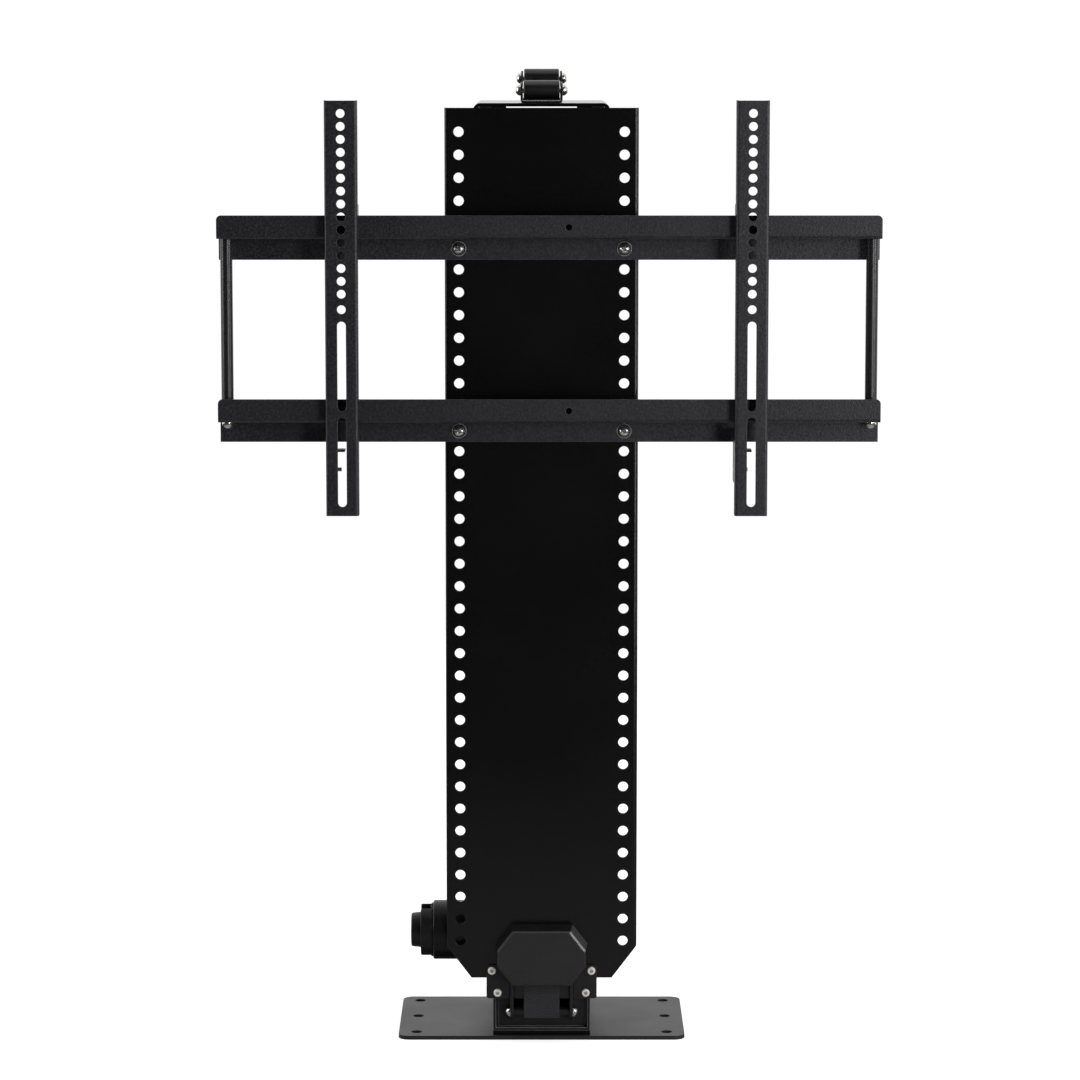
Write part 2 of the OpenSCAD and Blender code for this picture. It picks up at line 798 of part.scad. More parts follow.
module drum_shaft() {
    left_x = motor_right_x - motor_shaft_in + slide_fit;
    color(zinc) bar_x(left_x, drum_y, motor_z, shaft_r, column_x + bush_flange_t - left_x);
}

module drum_tube() {
    color(zinc) difference() {
        union() {
            bar_x(-drum_hub_x, drum_y, motor_z, drum_core_r, 2 * drum_hub_x);
            for (x = [-drum_half, drum_half - drum_flange_t])
                bar_x(x, drum_y, motor_z, drum_flange_r, drum_flange_t);
        }
        bar_x(-drum_hub_x - past, drum_y, motor_z, shaft_r, 2 * drum_hub_x + 2 * past);
    }
}

module drum_belt() {
    color(webbing_black) difference() {
        bar_x(-belt_w / 2, drum_y, motor_z, drum_wrap_r - slide_fit, belt_w);
        bar_x(-belt_w / 2 - past, drum_y, motor_z, drum_core_r, belt_w + 2 * past);
    }
}

module pulley_pin() {
    color(zinc) {
        bar_x(-column_x, pulley_y, pulley_z, shaft_r, 2 * column_x);
        for (side = [-1, 1]) on_side(side)
            bar_x(column_x, pulley_y, pulley_z, shaft_r + pin_cap_reach, pin_cap_t);
    }
}

module pulley_spacers() {
    left_x = pulley_half + slide_fit;
    spacer_l = column_x - column_wall - left_x;
    color(zinc) for (side = [-1, 1]) on_side(side) difference() {
        bar_x(left_x, pulley_y, pulley_z, shaft_r + pulley_spacer_wall, spacer_l);
        bar_x(left_x - past, pulley_y, pulley_z, shaft_r, spacer_l + 2 * past);
    }
}

module top_pulley() {
    rim_r = pulley_r - slide_fit;
    color(plastic_black) difference() {
        union() {
            bar_x(-pulley_half, pulley_y, pulley_z, rim_r, 2 * pulley_half);
            for (x = [-pulley_half, pulley_half - pulley_flange_t])
                bar_x(x, pulley_y, pulley_z, pulley_r + pulley_flange_h, pulley_flange_t);
        }
        bar_x(-pulley_half - past, pulley_y, pulley_z, shaft_r + run_fit, 2 * pulley_half + 2 * past);
    }
}

// Belt

module belt_rear_run() {
    color(webbing_black) along_x(-belt_w / 2, belt_w) {
        translate([belt_rear_y - belt_t / 2, motor_z]) square([belt_t, pulley_z - motor_z]);
        translate([pulley_y, pulley_z]) difference() {
            circle(pulley_r + belt_t);
            circle(pulley_r);
            translate([-2 * pulley_r, -2 * pulley_r]) square([4 * pulley_r, 2 * pulley_r]);
        }
    }
}

module belt_front_run() {
    color(webbing_black) along_x(-belt_w / 2, belt_w)
        translate([belt_front_y - belt_t / 2, belt_join_z]) square([belt_t, pulley_z - belt_join_z]);
}

module belt_end() {
    color(webbing_black) along_x(-belt_w / 2, belt_w) {
        translate([belt_front_y - belt_t / 2, pin_z]) square([belt_t, belt_join_z - pin_z]);
        translate([tail_y - belt_t / 2, pin_z]) square([belt_t, tail_top_z - pin_z]);
        translate([pin_y, pin_z]) difference() {
            circle(pin_bend_r + belt_t / 2);
            circle(pin_r);
            translate([-2 * pin_bend_r, 0]) square([4 * pin_bend_r, 2 * pin_bend_r]);
        }
    }
}

module belt_clamp() {
    pad_d = clamp_t + belt_t;
    color(zinc) difference() {
        union() {
            along_y(clamp_front_y, clamp_t) translate([0, clamp_z])
                round_rect(clamp_w, clamp_h, clamp_corner_r);
            for (x = [-1, 1]) along_y(clamp_front_y, pad_d) translate([x * clamp_screw_x, clamp_z])
                square([clamp_pad_w, clamp_h], center = true);
        }
        for (x = [-1, 1])
            bar_y(x * clamp_screw_x, clamp_front_y - past, clamp_z,
                  screw_d / 2 + screw_fit, pad_d + 2 * past);
    }
}

// Carriage

module front_plate() {
    hole_x = plate_hole_span / 2;
    color(sheet_black) difference() {
        translate([0, plate_front_y, plate_bottom_z]) linear_extrude(plate_h)
            bent_u(plate_w, plate_flange_d, plate_t, plate_bend_r);
        for (side = [-1, 1]) on_side(side) along_y(plate_front_y - past, plate_flange_d + 2 * past)
            translate([plate_w / 2, plate_bottom_z])
                polygon([[-corner_cut_w, 0], [-corner_cut_w, -past], [past, -past],
                         [past, corner_cut_h], [0, corner_cut_h]]);
        translate([-plate_w / 2 - past, plate_rear_y, plate_bottom_z - past])
            cube([2 * plate_flange_d, plate_flange_d, left_flange_z - plate_bottom_z + past]);
        for (x = [-hole_x, hole_x], i = [0 : plate_hole_count - 1])
            bar_y(x, plate_front_y - past, plate_top_z - plate_hole_drop - i * plate_hole_pitch,
                  plate_hole_d / 2, plate_t + 2 * past);
        for (x = [-1, 1])
            bar_y(x * upper_screw_span / 2, plate_front_y - past, upper_screw_z,
                  screw_d / 2 + screw_fit, plate_t + 2 * past);
    }
}

// The right side channel, before the motor's notch
module channel_sheet() {
    rear_lip_x = rear_gap_w / 2;
    front_lip_x = channel_in_x - front_lip_w;
    top_inner_r = top_bend_r - top_t;
    lip_corner_r = top_inner_r - slide_fit;
    difference() {
        translate([0, 0, plate_bottom_z]) linear_extrude(top_under_z - plate_bottom_z) difference() {
            translate([carriage_r, channel_mid_y]) rotate(90)
                bent_u(channel_d, carriage_r - rear_lip_x, channel_wall, channel_bend_r);
            translate([rear_lip_x - past, plate_rear_y - past])
                square([front_lip_x - rear_lip_x + past, channel_wall + 2 * past]);
        }
        along_y(plate_rear_y - past, channel_d + 2 * past)
            translate([carriage_r - top_bend_r, top_under_z - top_leg_h]) difference() {
                square([top_bend_r + past, top_leg_h + past]);
                square([lip_corner_r, top_leg_h - top_inner_r]);
                translate([0, top_leg_h - top_inner_r]) circle(lip_corner_r);
            }
    }
}

module side_channel_left() {
    color(sheet_black) difference() {
        on_side(-1) channel_sheet();
        translate([-carriage_r - past, plate_rear_y - past, plate_bottom_z - past])
            cube([carriage_r, notch_rear_y - plate_rear_y + past, notch_top_z - plate_bottom_z + past]);
    }
}

module side_channel_right() {
    color(sheet_black) channel_sheet();
}

module top_plate() {
    front_y = plate_rear_y + top_front_inset;
    color(sheet_black) along_y(front_y, channel_rear_y + top_rear_overhang - front_y)
        translate([0, top_z]) mirror([0, 1]) bent_u(carriage_w, top_t + top_leg_h, top_t, top_bend_r);
}

// Anchor bracket, pin and cover

module anchor_outline() {
    upper_x = upper_screw_span / 2;
    anchor_h = upper_screw_z - anchor_bottom_z;
    translate([0, anchor_bottom_z]) round_front(anchor_w, anchor_h, anchor_corner_r);
    translate([-upper_x, anchor_bottom_z + anchor_corner_r])
        square([2 * upper_x, anchor_h + anchor_ear_r - anchor_corner_r]);
    for (x = [-upper_x, upper_x]) translate([x, upper_screw_z]) circle(anchor_ear_r);
}

module anchor_plate() {
    notch_h = cheek_top_z - anchor_bottom_z + slide_fit;
    color(coat_black) difference() {
        along_y(anchor_front_y, anchor_t) difference() {
            anchor_outline();
            for (x = [-1, 1]) translate([x * (cheek_in_x + cheek_t / 2), anchor_bottom_z])
                square([cheek_t + 2 * slide_fit, 2 * notch_h], center = true);
        }
        anchor_screw_places() translate([0, past, 0]) rotate([90, 0, 0])
            cylinder(d = screw_d + 2 * screw_fit, h = anchor_t + 2 * past, center = true);
        for (x = [-1, 1])
            bar_y(x * clamp_screw_x, anchor_front_y - past, clamp_z, screw_d / 2, anchor_t + 2 * past);
    }
}

module anchor_screw_places() {
    for (x = [-1, 1]) {
        translate([x * upper_screw_span / 2, anchor_front_y, upper_screw_z]) children();
        translate([x * lower_screw_span / 2, anchor_front_y, lower_screw_z]) children();
    }
}

module anchor_screws() {
    color(nickel) {
        anchor_screw_places() rotate([90, 0, 0])
            pan_screw(screw_head_d, screw_head_h, screw_d, anchor_t + bracket_flange_t);
        for (x = [-1, 1]) translate([x * clamp_screw_x, clamp_front_y, clamp_z]) rotate([90, 0, 0])
            pan_screw(screw_head_d, screw_head_h, screw_d, clamp_t + belt_t + anchor_t);
    }
}

module pin_bracket() {
    cheek_w = 2 * cheek_end_r;
    flange_x = lower_screw_span / 2 + anchor_ear_r;
    flange_low_z = lower_screw_z - anchor_ear_r + bracket_flange_short;
    color(coat_black) difference() {
        for (side = [-1, 1]) on_side(side) {
            along_x(cheek_in_x, cheek_t) {
                translate([pin_y - cheek_end_r, pin_z]) square([cheek_w, cheek_top_z - pin_z]);
                translate([pin_y, pin_z]) circle(cheek_end_r);
            }
            along_y(plate_front_y, bracket_flange_t) translate([cheek_in_x, flange_low_z])
                square([flange_x - cheek_in_x, cheek_top_z - flange_low_z]);
        }
        bar_x(-cheek_out_x - past, pin_y, pin_z, pin_r, 2 * cheek_out_x + 2 * past);
        for (x = [-1, 1])
            bar_y(x * lower_screw_span / 2, plate_front_y - past, lower_screw_z,
                  screw_d / 2, bracket_flange_t + 2 * past);
    }
}

module anchor_pin() {
    color(coat_black) difference() {
        bar_x(-cheek_out_x, pin_y, pin_z, pin_r, 2 * cheek_out_x);
        for (side = [-1, 1]) on_side(side)
            bar_x(cheek_out_x - pin_bolt_l, pin_y, pin_z, pin_bolt_d / 2, pin_bolt_l + past);
    }
}

module anchor_pin_bolts() {
    color(nickel) for (side = [-1, 1]) on_side(side)
        translate([cheek_out_x, pin_y, pin_z]) rotate([0, 90, 0])
            dome_bolt(dome_d, dome_h, pin_bolt_d, pin_bolt_l - past);
}

// The cover's octagon, grown by this much
module cover_outline(grow) {
    w = cover_w / 2 + grow;
    h = cover_h / 2 + grow;
    cw = w - cover_clip_w;
    ch = h - cover_clip_h;
    translate([0, cover_mid_z])
        polygon([[-w, -ch], [-cw, -h], [cw, -h], [w, -ch], [w, ch], [cw, h], [-cw, h], [-w, ch]]);
}

// The cover's form, shrunk by a wall: bevelled front edge, drafted sides, back past the plate's face
module cover_form(wall, back) {
    thin = 0.01;
    front_y = plate_front_y - cover_d + wall;
    hull() {
        along_y(front_y, thin) cover_outline(-cover_bevel - wall);
        along_y(front_y + cover_bevel, thin) cover_outline(-wall);
        along_y(plate_front_y + back - thin, thin) cover_outline(cover_draft - wall);
    }
}

module belt_cover() {
    color(plastic_black) difference() {
        cover_form(0, 0);
        cover_form(cover_wall, past);
        along_y(anchor_front_y, anchor_t + past) anchor_outline();
        translate([-cover_mouth_w / 2, plate_front_y - cover_mouth_d, 0])
            cube([cover_mouth_w, cover_mouth_d + past, cover_mid_z]);
    }
}

// Rails, rods and their fasteners

// A rail's section: the lip stands up at the front, the flange hangs down at the back
module rail_section(web_z) {
    half_d = rail_d / 2 + past;
    translate([rail_front_y, web_z]) bent_l(half_d, rail_lip_h, rail_t, rail_bend_r);
    translate([plate_front_y, web_z + rail_t]) rotate(180)
        bent_l(half_d, rail_back_h, rail_t, rail_bend_r);
}

module rail(row) {
    web_z = rail_web_z(row);
    top = web_z + rail_lip_h;
    color(coat_black) difference() {
        along_x(rail_left_x, rail_l) rail_section(web_z);
        for (side = [-1, 1]) translate([side > 0 ? rail_right_x : rail_left_x, 0, 0]) on_side(side)
            along_y(rail_front_y - past, rail_t + 2 * past)
                translate([-rail_end_r, top - rail_end_r]) difference() {
                    square(rail_end_r + past);
                    circle(rail_end_r);
                }
        bar_y(lip_hole_x, rail_front_y - past, top - rail_lip_h / 2, lip_hole_d / 2, rail_t + 2 * past);
        for (x = [-1, 1])
            bar_y(x * plate_hole_span / 2, plate_front_y - rail_t - past, bolt_z(row),
                  bolt_r + screw_fit, rail_t + 2 * past);
        for (x = rod_xs) translate([x, rod_y, web_z - past])
            cylinder(r = bolt_r + screw_fit, h = rail_t + 2 * past);
    }
}

module rail_bolt_places() {
    for (row = [upper_row, lower_row], x = [-1, 1])
        translate([x * plate_hole_span / 2, plate_front_y - rail_t, bolt_z(row)])
            rotate([90, 0, 0]) children();
}

module rail_bolts() {
    color(nickel) rail_bolt_places() translate([0, 0, washer_t])
        dome_bolt(rail_head_d, rail_head_h, bolt_d, washer_t + rail_t + plate_t + nut_h + thread_past);
}

module rail_washers() {
    color(nickel) rail_bolt_places() difference() {
        cylinder(d = washer_d, h = washer_t);
        translate([0, 0, -past]) cylinder(r = bolt_r + screw_fit, h = washer_t + 2 * past);
    }
}

module rail_nuts() {
    color(zinc) rail_bolt_places() translate([0, 0, -rail_t - plate_t]) difference() {
        union() {
            translate([0, 0, -nut_h]) cylinder(d = nut_af / cos(30), h = nut_h, $fn = 6);
            translate([0, 0, -nut_flange_h]) cylinder(d = washer_d, h = nut_flange_h);
        }
        translate([0, 0, -nut_h - past]) cylinder(d = bolt_d, h = nut_h + 2 * past);
    }
}

module tie_rods() {
    color(coat_black) for (x = rod_xs) translate([x, rod_y, 0]) difference() {
        translate([0, 0, rod_low_z]) cylinder(d = rod_d, h = upper_web_z - rod_low_z);
        translate([0, 0, rod_low_z - past]) cylinder(d = bolt_d, h = rod_thread_l + past);
        translate([0, 0, upper_web_z - rod_thread_l]) cylinder(d = bolt_d, h = rod_thread_l + past);
    }
}

module tie_rod_bolts() {
    shank_l = rail_t + rod_thread_l - thread_past;
    color(nickel) for (x = rod_xs) translate([x, rod_y, 0]) {
        translate([0, 0, lower_web_z]) rotate([180, 0, 0]) dome_bolt(dome_d, rod_head_h, bolt_d, shank_l);
        translate([0, 0, upper_web_z + rail_t]) dome_bolt(dome_d, rod_head_h, bolt_d, shank_l);
    }
}

// Lid rollers

module lid_bracket(y, axis_h) {
    depth = 2 * lid_bracket_r;
    color(coat_black) difference() {
        intersection() {
            along_y(y - lid_bracket_r, depth) translate([0, top_z])
                bent_u(lid_bracket_w, axis_h + depth, lid_bracket_t, lid_bend_r);
            along_x(-lid_bracket_w, 2 * lid_bracket_w) {
                translate([y - lid_bracket_r, top_z]) square([depth, axis_h]);
                translate([y, top_z + axis_h]) circle(lid_bracket_r);
            }
        }
        bar_x(-lid_bracket_w, y, top_z + axis_h, bolt_r, 2 * lid_bracket_w);
    }
}

module lid_axle_bolts() {
    color(nickel) for (i = [0, 1], side = [-1, 1]) on_side(side)
        translate([lid_bracket_w / 2, lid_ys[i], top_z + lid_hs[i]]) rotate([0, 90, 0])
            dome_bolt(dome_d, dome_h, bolt_d, lid_bracket_t + lid_side_gap + lid_pin_l);
}

module lid_roller(y, axis_h) {
    bore = bolt_r + run_fit;
    end_r = lid_roller_r - lid_roller_edge;
    long = 2 * lid_roller_half;
    color(plastic_black) translate([-lid_roller_half, y, top_z + axis_h]) rotate([0, 90, 0]) rotate_extrude()
        polygon([[bore, 0], [end_r, 0], [lid_roller_r, lid_roller_edge],
                 [lid_roller_r, long - lid_roller_edge], [end_r, long], [bore, long]]);
}

// Television arms

function arm_x(side) = arm_shift + side * arm_span / 2;

module arm_slot(start) {
    r = arm_hole_d / 2;
    low_z = arm_top_z - start - slot_l + r;
    high_z = arm_top_z - start - r;
    along_y(arm_front_y - past, arm_t + 2 * past) {
        translate([-r, low_z]) square([arm_hole_d, high_z - low_z]);
        for (z = [low_z, high_z]) translate([0, z]) circle(r);
    }
}

module arm(side) {
    flange_y = arm_front_y + arm_bend_r;
    ear_low_z = arm_ear_top_z - ear_h;
    color(coat_black) translate([arm_x(side), 0, 0]) difference() {
        union() {
            translate([0, arm_front_y, arm_top_z - arm_l]) linear_extrude(arm_l)
                bent_u(arm_w, arm_d, arm_t, arm_bend_r);
            for (x = [-arm_w / 2, arm_in_x]) along_x(x, arm_t) {
                translate([flange_y, upper_top_z + slide_fit]) square([hook_rear_y - flange_y, hook_h]);
                translate([hook_front_y, upper_top_z - hook_drop])
                    square([hook_rear_y - hook_front_y, hook_drop + hook_h]);
            }
            translate([-arm_w / 2, flange_y, ear_low_z])
                cube([arm_t, arm_ear_rear_y - flange_y, arm_ear_top_z - ear_low_z]);
        }
        for (i = [0 : arm_hole_count - 1]) arm_hole(arm_hole_first + i * arm_hole_pitch);
        arm_hole(arm_hole_last);
        arm_slot(slot_first);
        arm_slot(slot_second);
        bar_x(-arm_w / 2 - past, tab_mid_y, lock_screw_z, lock_screw_d / 2, arm_t + 2 * past);
    }
}

module arm_hole(below) {
    bar_y(0, arm_front_y - past, arm_top_z - below, arm_hole_d / 2, arm_t + 2 * past);
}

module lock_tab(side) {
    color(coat_black) translate([arm_x(side) - arm_in_x, tab_mid_y - tab_d / 2, 0]) difference() {
        union() {
            translate([0, 0, tab_z - tab_t]) cube([tab_reach, tab_d, tab_t]);
            translate([0, 0, tab_z - tab_drop]) cube([tab_t, tab_d, tab_drop]);
        }
        bar_x(-past, tab_d / 2, lock_screw_z, lock_screw_d / 2, tab_t + 2 * past);
    }
}

module lock_screw(side) {
    color(zinc) difference() {
        bar_x(arm_x(side) - arm_w / 2, tab_mid_y, lock_screw_z, lock_screw_d / 2, lock_screw_l);
        translate([arm_x(side) - arm_w / 2 - past, tab_mid_y, lock_screw_z]) rotate([0, 90, 0])
            cylinder(d = lock_screw_d / 2, h = lock_socket_deep + past, $fn = 6);
    }
}

base_plate();
foot_spacer();
foot();
foot_bolts();
column();
slide_outer(-1);  // slide_outer_left
slide_outer(1);  // slide_outer_right
slide_mid(-1);  // slide_mid_left
slide_mid(1);  // slide_mid_right
slide_inner(-1);  // slide_inner_left
slide_inner(1);  // slide_inner_right
ball_cage(-1, mid_half);  // ball_cage_outer_left
ball_cage(1, mid_half);  // ball_cage_outer_right
ball_cage(-1, inner_half);  // ball_cage_inner_left
ball_cage(1, inner_half);  // ball_cage_inner_right
motor_plate();
motor_screws();
motor_head();
motor_collar();
motor_cap();
idler_bush();
drum_shaft();
drum_tube();
drum_belt();
pulley_pin();
pulley_spacers();
top_pulley();
belt_rear_run();
belt_front_run();
belt_end();
belt_clamp();
front_plate();
side_channel_left();
side_channel_right();
top_plate();
belt_cover();
anchor_plate();
anchor_screws();
pin_bracket();
anchor_pin();
anchor_pin_bolts();
rail(upper_row);  // rail_upper
rail(lower_row);  // rail_lower
rail_bolts();
rail_washers();
rail_nuts();
tie_rods();
tie_rod_bolts();
lid_bracket(lid_ys[0], lid_hs[0]);  // lid_bracket_front
lid_bracket(lid_ys[1], lid_hs[1]);  // lid_bracket_rear
lid_axle_bolts();
lid_roller(lid_ys[0], lid_hs[0]);  // lid_roller_front
lid_roller(lid_ys[1], lid_hs[1]);  // lid_roller_rear
arm(-1);  // arm_left
arm(1);  // arm_right
lock_tab(-1);  // lock_tab_left
lock_tab(1);  // lock_tab_right
lock_screw(-1);  // lock_screw_left
lock_screw(1);  // lock_screw_right
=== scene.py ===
import json
import math

import bmesh
import bpy
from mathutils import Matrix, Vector


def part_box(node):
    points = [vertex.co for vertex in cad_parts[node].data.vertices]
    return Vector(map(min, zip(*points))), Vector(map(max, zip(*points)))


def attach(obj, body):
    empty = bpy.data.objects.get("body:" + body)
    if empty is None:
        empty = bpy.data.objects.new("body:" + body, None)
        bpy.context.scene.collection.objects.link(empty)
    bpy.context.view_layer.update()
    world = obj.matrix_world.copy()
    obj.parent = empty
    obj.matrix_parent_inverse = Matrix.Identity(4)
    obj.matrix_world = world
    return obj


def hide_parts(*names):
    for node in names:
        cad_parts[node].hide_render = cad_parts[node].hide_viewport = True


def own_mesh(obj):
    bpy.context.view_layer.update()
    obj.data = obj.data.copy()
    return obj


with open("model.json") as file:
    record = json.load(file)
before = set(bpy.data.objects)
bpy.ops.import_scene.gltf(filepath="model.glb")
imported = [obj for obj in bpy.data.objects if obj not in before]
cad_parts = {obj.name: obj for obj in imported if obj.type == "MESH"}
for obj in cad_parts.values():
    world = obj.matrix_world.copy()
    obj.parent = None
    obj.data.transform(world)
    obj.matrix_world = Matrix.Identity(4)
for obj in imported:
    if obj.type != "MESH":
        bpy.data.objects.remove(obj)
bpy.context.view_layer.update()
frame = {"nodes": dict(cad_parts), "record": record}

nodes = frame["nodes"]
record = frame["record"]
mm = 0.001
fullTurn = 360  # degrees

# camera: placed as for the photograph, and tilted down in place of most of its lens shift
camera = {"place": (-0.0016, -3.9, 1.013), "tiltDown": 7.046, "lens": 129.36, "sensor": 36.0, "shift": -0.03,
          "reach": 60.0}


def makeCamera(settings):
    data = bpy.data.cameras.new("camera")
    data.lens = settings["lens"]
    data.sensor_width = settings["sensor"]
    data.shift_y = settings["shift"]
    data.clip_end = settings["reach"]
    view = bpy.data.objects.new("camera", data)
    view.location = settings["place"]
    view.rotation_euler = (math.radians(90 - settings["tiltDown"]), 0, 0)
    bpy.context.scene.collection.objects.link(view)
    bpy.context.scene.camera = view


makeCamera(camera)
print("camera: set")


# small helpers for shader trees
noiseSpan = (0.3, 0.7)  # where most of a noise's values lie
edgeFinder = {"samples": 6, "span": (0.8, 0.99)}
recessFinder = {"samples": 8, "span": (0.25, 0.8)}


def addNode(tree, kind, inputs=None, **traits):
    node = tree.nodes.new(kind)
    for name, value in traits.items():
        setattr(node, name, value)
    for name, value in (inputs or {}).items():
        if isinstance(value, bpy.types.NodeSocket):
            tree.links.new(value, node.inputs[name])
        else:
            node.inputs[name].default_value = value
    return node


def newFinish(name, sockets):
    finish = bpy.data.materials.new(name)
    finish.use_nodes = True
    tree = finish.node_tree
    shader = tree.nodes["Principled BSDF"]
    for socket, value in sockets.items():
        shader.inputs[socket].default_value = value
    return finish, tree, shader


def noiseOf(tree, place, size, detail, rough=0.5):
    sizes = {"Vector": place, "Scale": 1 / size, "Detail": detail, "Roughness": rough}
    return addNode(tree, "ShaderNodeTexNoise", sizes).outputs["Fac"]


def spread(tree, value, low, high, span=noiseSpan):  # the span's ends become low and high
    ends = {"Value": value, "From Min": span[0], "From Max": span[1], "To Min": low, "To Max": high}
    return addNode(tree, "ShaderNodeMapRange", ends).outputs["Result"]


def around(tree, value, middle, swing):  # a noise that swings about a middle value
    return spread(tree, value, middle - swing, middle + swing)


def combine(tree, a, b, way="ADD"):
    return addNode(tree, "ShaderNodeMath", {0: a, 1: b}, operation=way).outputs[0]


def wave(tree, value, pitch):
    turns = combine(tree, value, 2 * math.pi / pitch, "MULTIPLY")
    return addNode(tree, "ShaderNodeMath", {0: turns}, operation="SINE").outputs[0]


def toneRamp(tree, value, span, tones):  # the first tone at the span's low end, the second at its high end
    ramp = addNode(tree, "ShaderNodeValToRGB", {"Fac": value})
    for point, at, tone in zip(ramp.color_ramp.elements, span, tones):
        point.position = at
        point.color = (*tone, 1)
    return ramp.outputs["Color"]


def mixTone(tree, share, a, b):  # the node's colour sockets are 6 and 7 going in and 2 coming out
    node = addNode(tree, "ShaderNodeMix", data_type="RGBA")
    for socket, value in ((node.inputs[0], share), (node.inputs[6], a), (node.inputs[7], b)):
        if isinstance(value, bpy.types.NodeSocket):
            tree.links.new(value, socket)
        else:
            socket.default_value = (*value, 1)
    return node.outputs[2]


def softEdges(tree, radius):  # rounded normals, and a mask that is 1 on a sharp edge
    bevel = addNode(tree, "ShaderNodeBevel", {"Radius": radius}, samples=edgeFinder["samples"])
    rounded = bevel.outputs["Normal"]
    face = addNode(tree, "ShaderNodeNewGeometry").outputs["Normal"]
    along = addNode(tree, "ShaderNodeVectorMath", {0: rounded, 1: face}, operation="DOT_PRODUCT")
    return rounded, spread(tree, along.outputs["Value"], 1.0, 0.0, edgeFinder["span"])


def edgeWearAndHighlightTone(tree, thin, tone, look):  # the coat's tone, with a lighter tone on its sharp edges: wear on most finishes, a painted highlight on the foot's edges and the washers' rims
    edgeMix = combine(tree, thin, look["edgeShare"], "MULTIPLY")
    return mixTone(tree, edgeMix, tone, look["edgeTone"])


def recess(tree, reach):  # 0 deep in a socket or corner, 1 on open faces
    shade = addNode(tree, "ShaderNodeAmbientOcclusion", {"Distance": reach}, only_local=True,
                    samples=recessFinder["samples"])
    return spread(tree, shade.outputs["AO"], 0.0, 1.0, recessFinder["span"])


# powder coat: orange peel, fine grain, slow drift of tone, thin edges a little lighter
coatTexture = {"refraction": 1.46, "driftDetail": 3.0, "grainDetail": 2.0, "grainRough": 0.6,
               "peelDetail": 1.0, "speckSpan": (0.42, 0.72), "roughGrain": 0.03}


def powderCoat(name, look):
    sockets = {"IOR": coatTexture["refraction"], "Specular IOR Level": look["gloss"]}
    finish, tree, shader = newFinish(name, sockets)
    place = addNode(tree, "ShaderNodeTexCoord").outputs["Object"]
    edge, thin = softEdges(tree, look["edgeRadius"])
    drift = noiseOf(tree, place, look["driftSize"], coatTexture["driftDetail"])
    grain = noiseOf(tree, place, look["grainSize"], coatTexture["grainDetail"], coatTexture["grainRough"])
    peel = noiseOf(tree, place, look["peelSize"], coatTexture["peelDetail"])
    tone = toneRamp(tree, drift, noiseSpan, (look["deep"], look["tone"]))
    speck = spread(tree, grain, 0.0, look["speckle"], coatTexture["speckSpan"])
    tone = mixTone(tree, speck, tone, look["speckTone"])
    tree.links.new(edgeWearAndHighlightTone(tree, thin, tone, look), shader.inputs["Base Color"])
    dull = combine(tree, around(tree, drift, 0.0, look["roughDrift"]),
                   around(tree, grain, look["rough"], coatTexture["roughGrain"]))
    tree.links.new(dull, shader.inputs["Roughness"])
    first = addNode(tree, "ShaderNodeBump", {"Distance": look["peelDeep"], "Height": peel, "Normal": edge})
    last = addNode(tree, "ShaderNodeBump", {"Distance": look["grainDeep"], "Height": grain,
                                            "Normal": first.outputs[0]})
    tree.links.new(last.outputs[0], shader.inputs["Normal"])
    return finish


# sizes and depths in metres, tones in linear colour
sheetCoat = {"tone": (0.0034, 0.0034, 0.0036), "deep": (0.0024, 0.0024, 0.0025),
             "speckTone": (0.008, 0.008, 0.0084), "edgeTone": (0.03, 0.03, 0.031), "driftSize": 0.11,
             "grainSize": 0.0011, "peelSize": 0.0045, "grainDeep": 0.000012, "peelDeep": 0.00003,
             "speckle": 0.3, "rough": 0.2, "roughDrift": 0.025, "gloss": 0.42, "edgeRadius": 0.0008,
             "edgeShare": 0.7}
railCoat = {"tone": (0.0108, 0.0105, 0.0140), "deep": (0.0084, 0.0081, 0.0110),
            "speckTone": (0.03, 0.03, 0.038), "edgeTone": (0.085, 0.085, 0.093), "driftSize": 0.08,
            "grainSize": 0.0022, "peelSize": 0.005, "grainDeep": 0.0002, "peelDeep": 0.00007,
            "speckle": 0.8, "rough": 0.42, "roughDrift": 0.02, "gloss": 0.5, "edgeRadius": 0.0011,
            "edgeShare": 0.7}
baseCoat = {"tone": (0.0158, 0.0158, 0.016), "deep": (0.0116, 0.0116, 0.0118),
            "speckTone": (0.045, 0.045, 0.046), "edgeTone": (0.03, 0.03, 0.031), "driftSize": 0.06,
            "grainSize": 0.0012, "peelSize": 0.005, "grainDeep": 0.00006, "peelDeep": 0.00006,
            "speckle": 0.35, "rough": 0.43, "roughDrift": 0.03, "gloss": 0.46, "edgeRadius": 0.0006,
            "edgeShare": 0.4}
motorCoat = {"tone": (0.0026, 0.0026, 0.0028), "deep": (0.0020, 0.0020, 0.0021),
             "speckTone": (0.006, 0.006, 0.0062), "edgeTone": (0.02, 0.02, 0.021), "driftSize": 0.05,
             "grainSize": 0.0009, "peelSize": 0.004, "grainDeep": 0.00003, "peelDeep": 0.00003,
             "speckle": 0.4, "rough": 0.32, "roughDrift": 0.03, "gloss": 0.32, "edgeRadius": 0.0005,
             "edgeShare": 0.4}
rodCoat = {**railCoat, "tone": (0.0125, 0.0125, 0.014), "deep": (0.0095, 0.0095, 0.0108), "rough": 0.3,
           "gloss": 0.55, "grainDeep": 0.000006, "peelDeep": 0.00001, "speckle": 0.15, "edgeShare": 0.2}
lidCoat = {**sheetCoat, "tone": (0.009, 0.009, 0.0095), "deep": (0.007, 0.007, 0.0073), "rough": 0.16,
           "gloss": 0.6, "roughDrift": 0.02}
topCoat = {**sheetCoat, "rough": 0.15, "gloss": 0.5, "roughDrift": 0.02, "peelDeep": 0.00001}
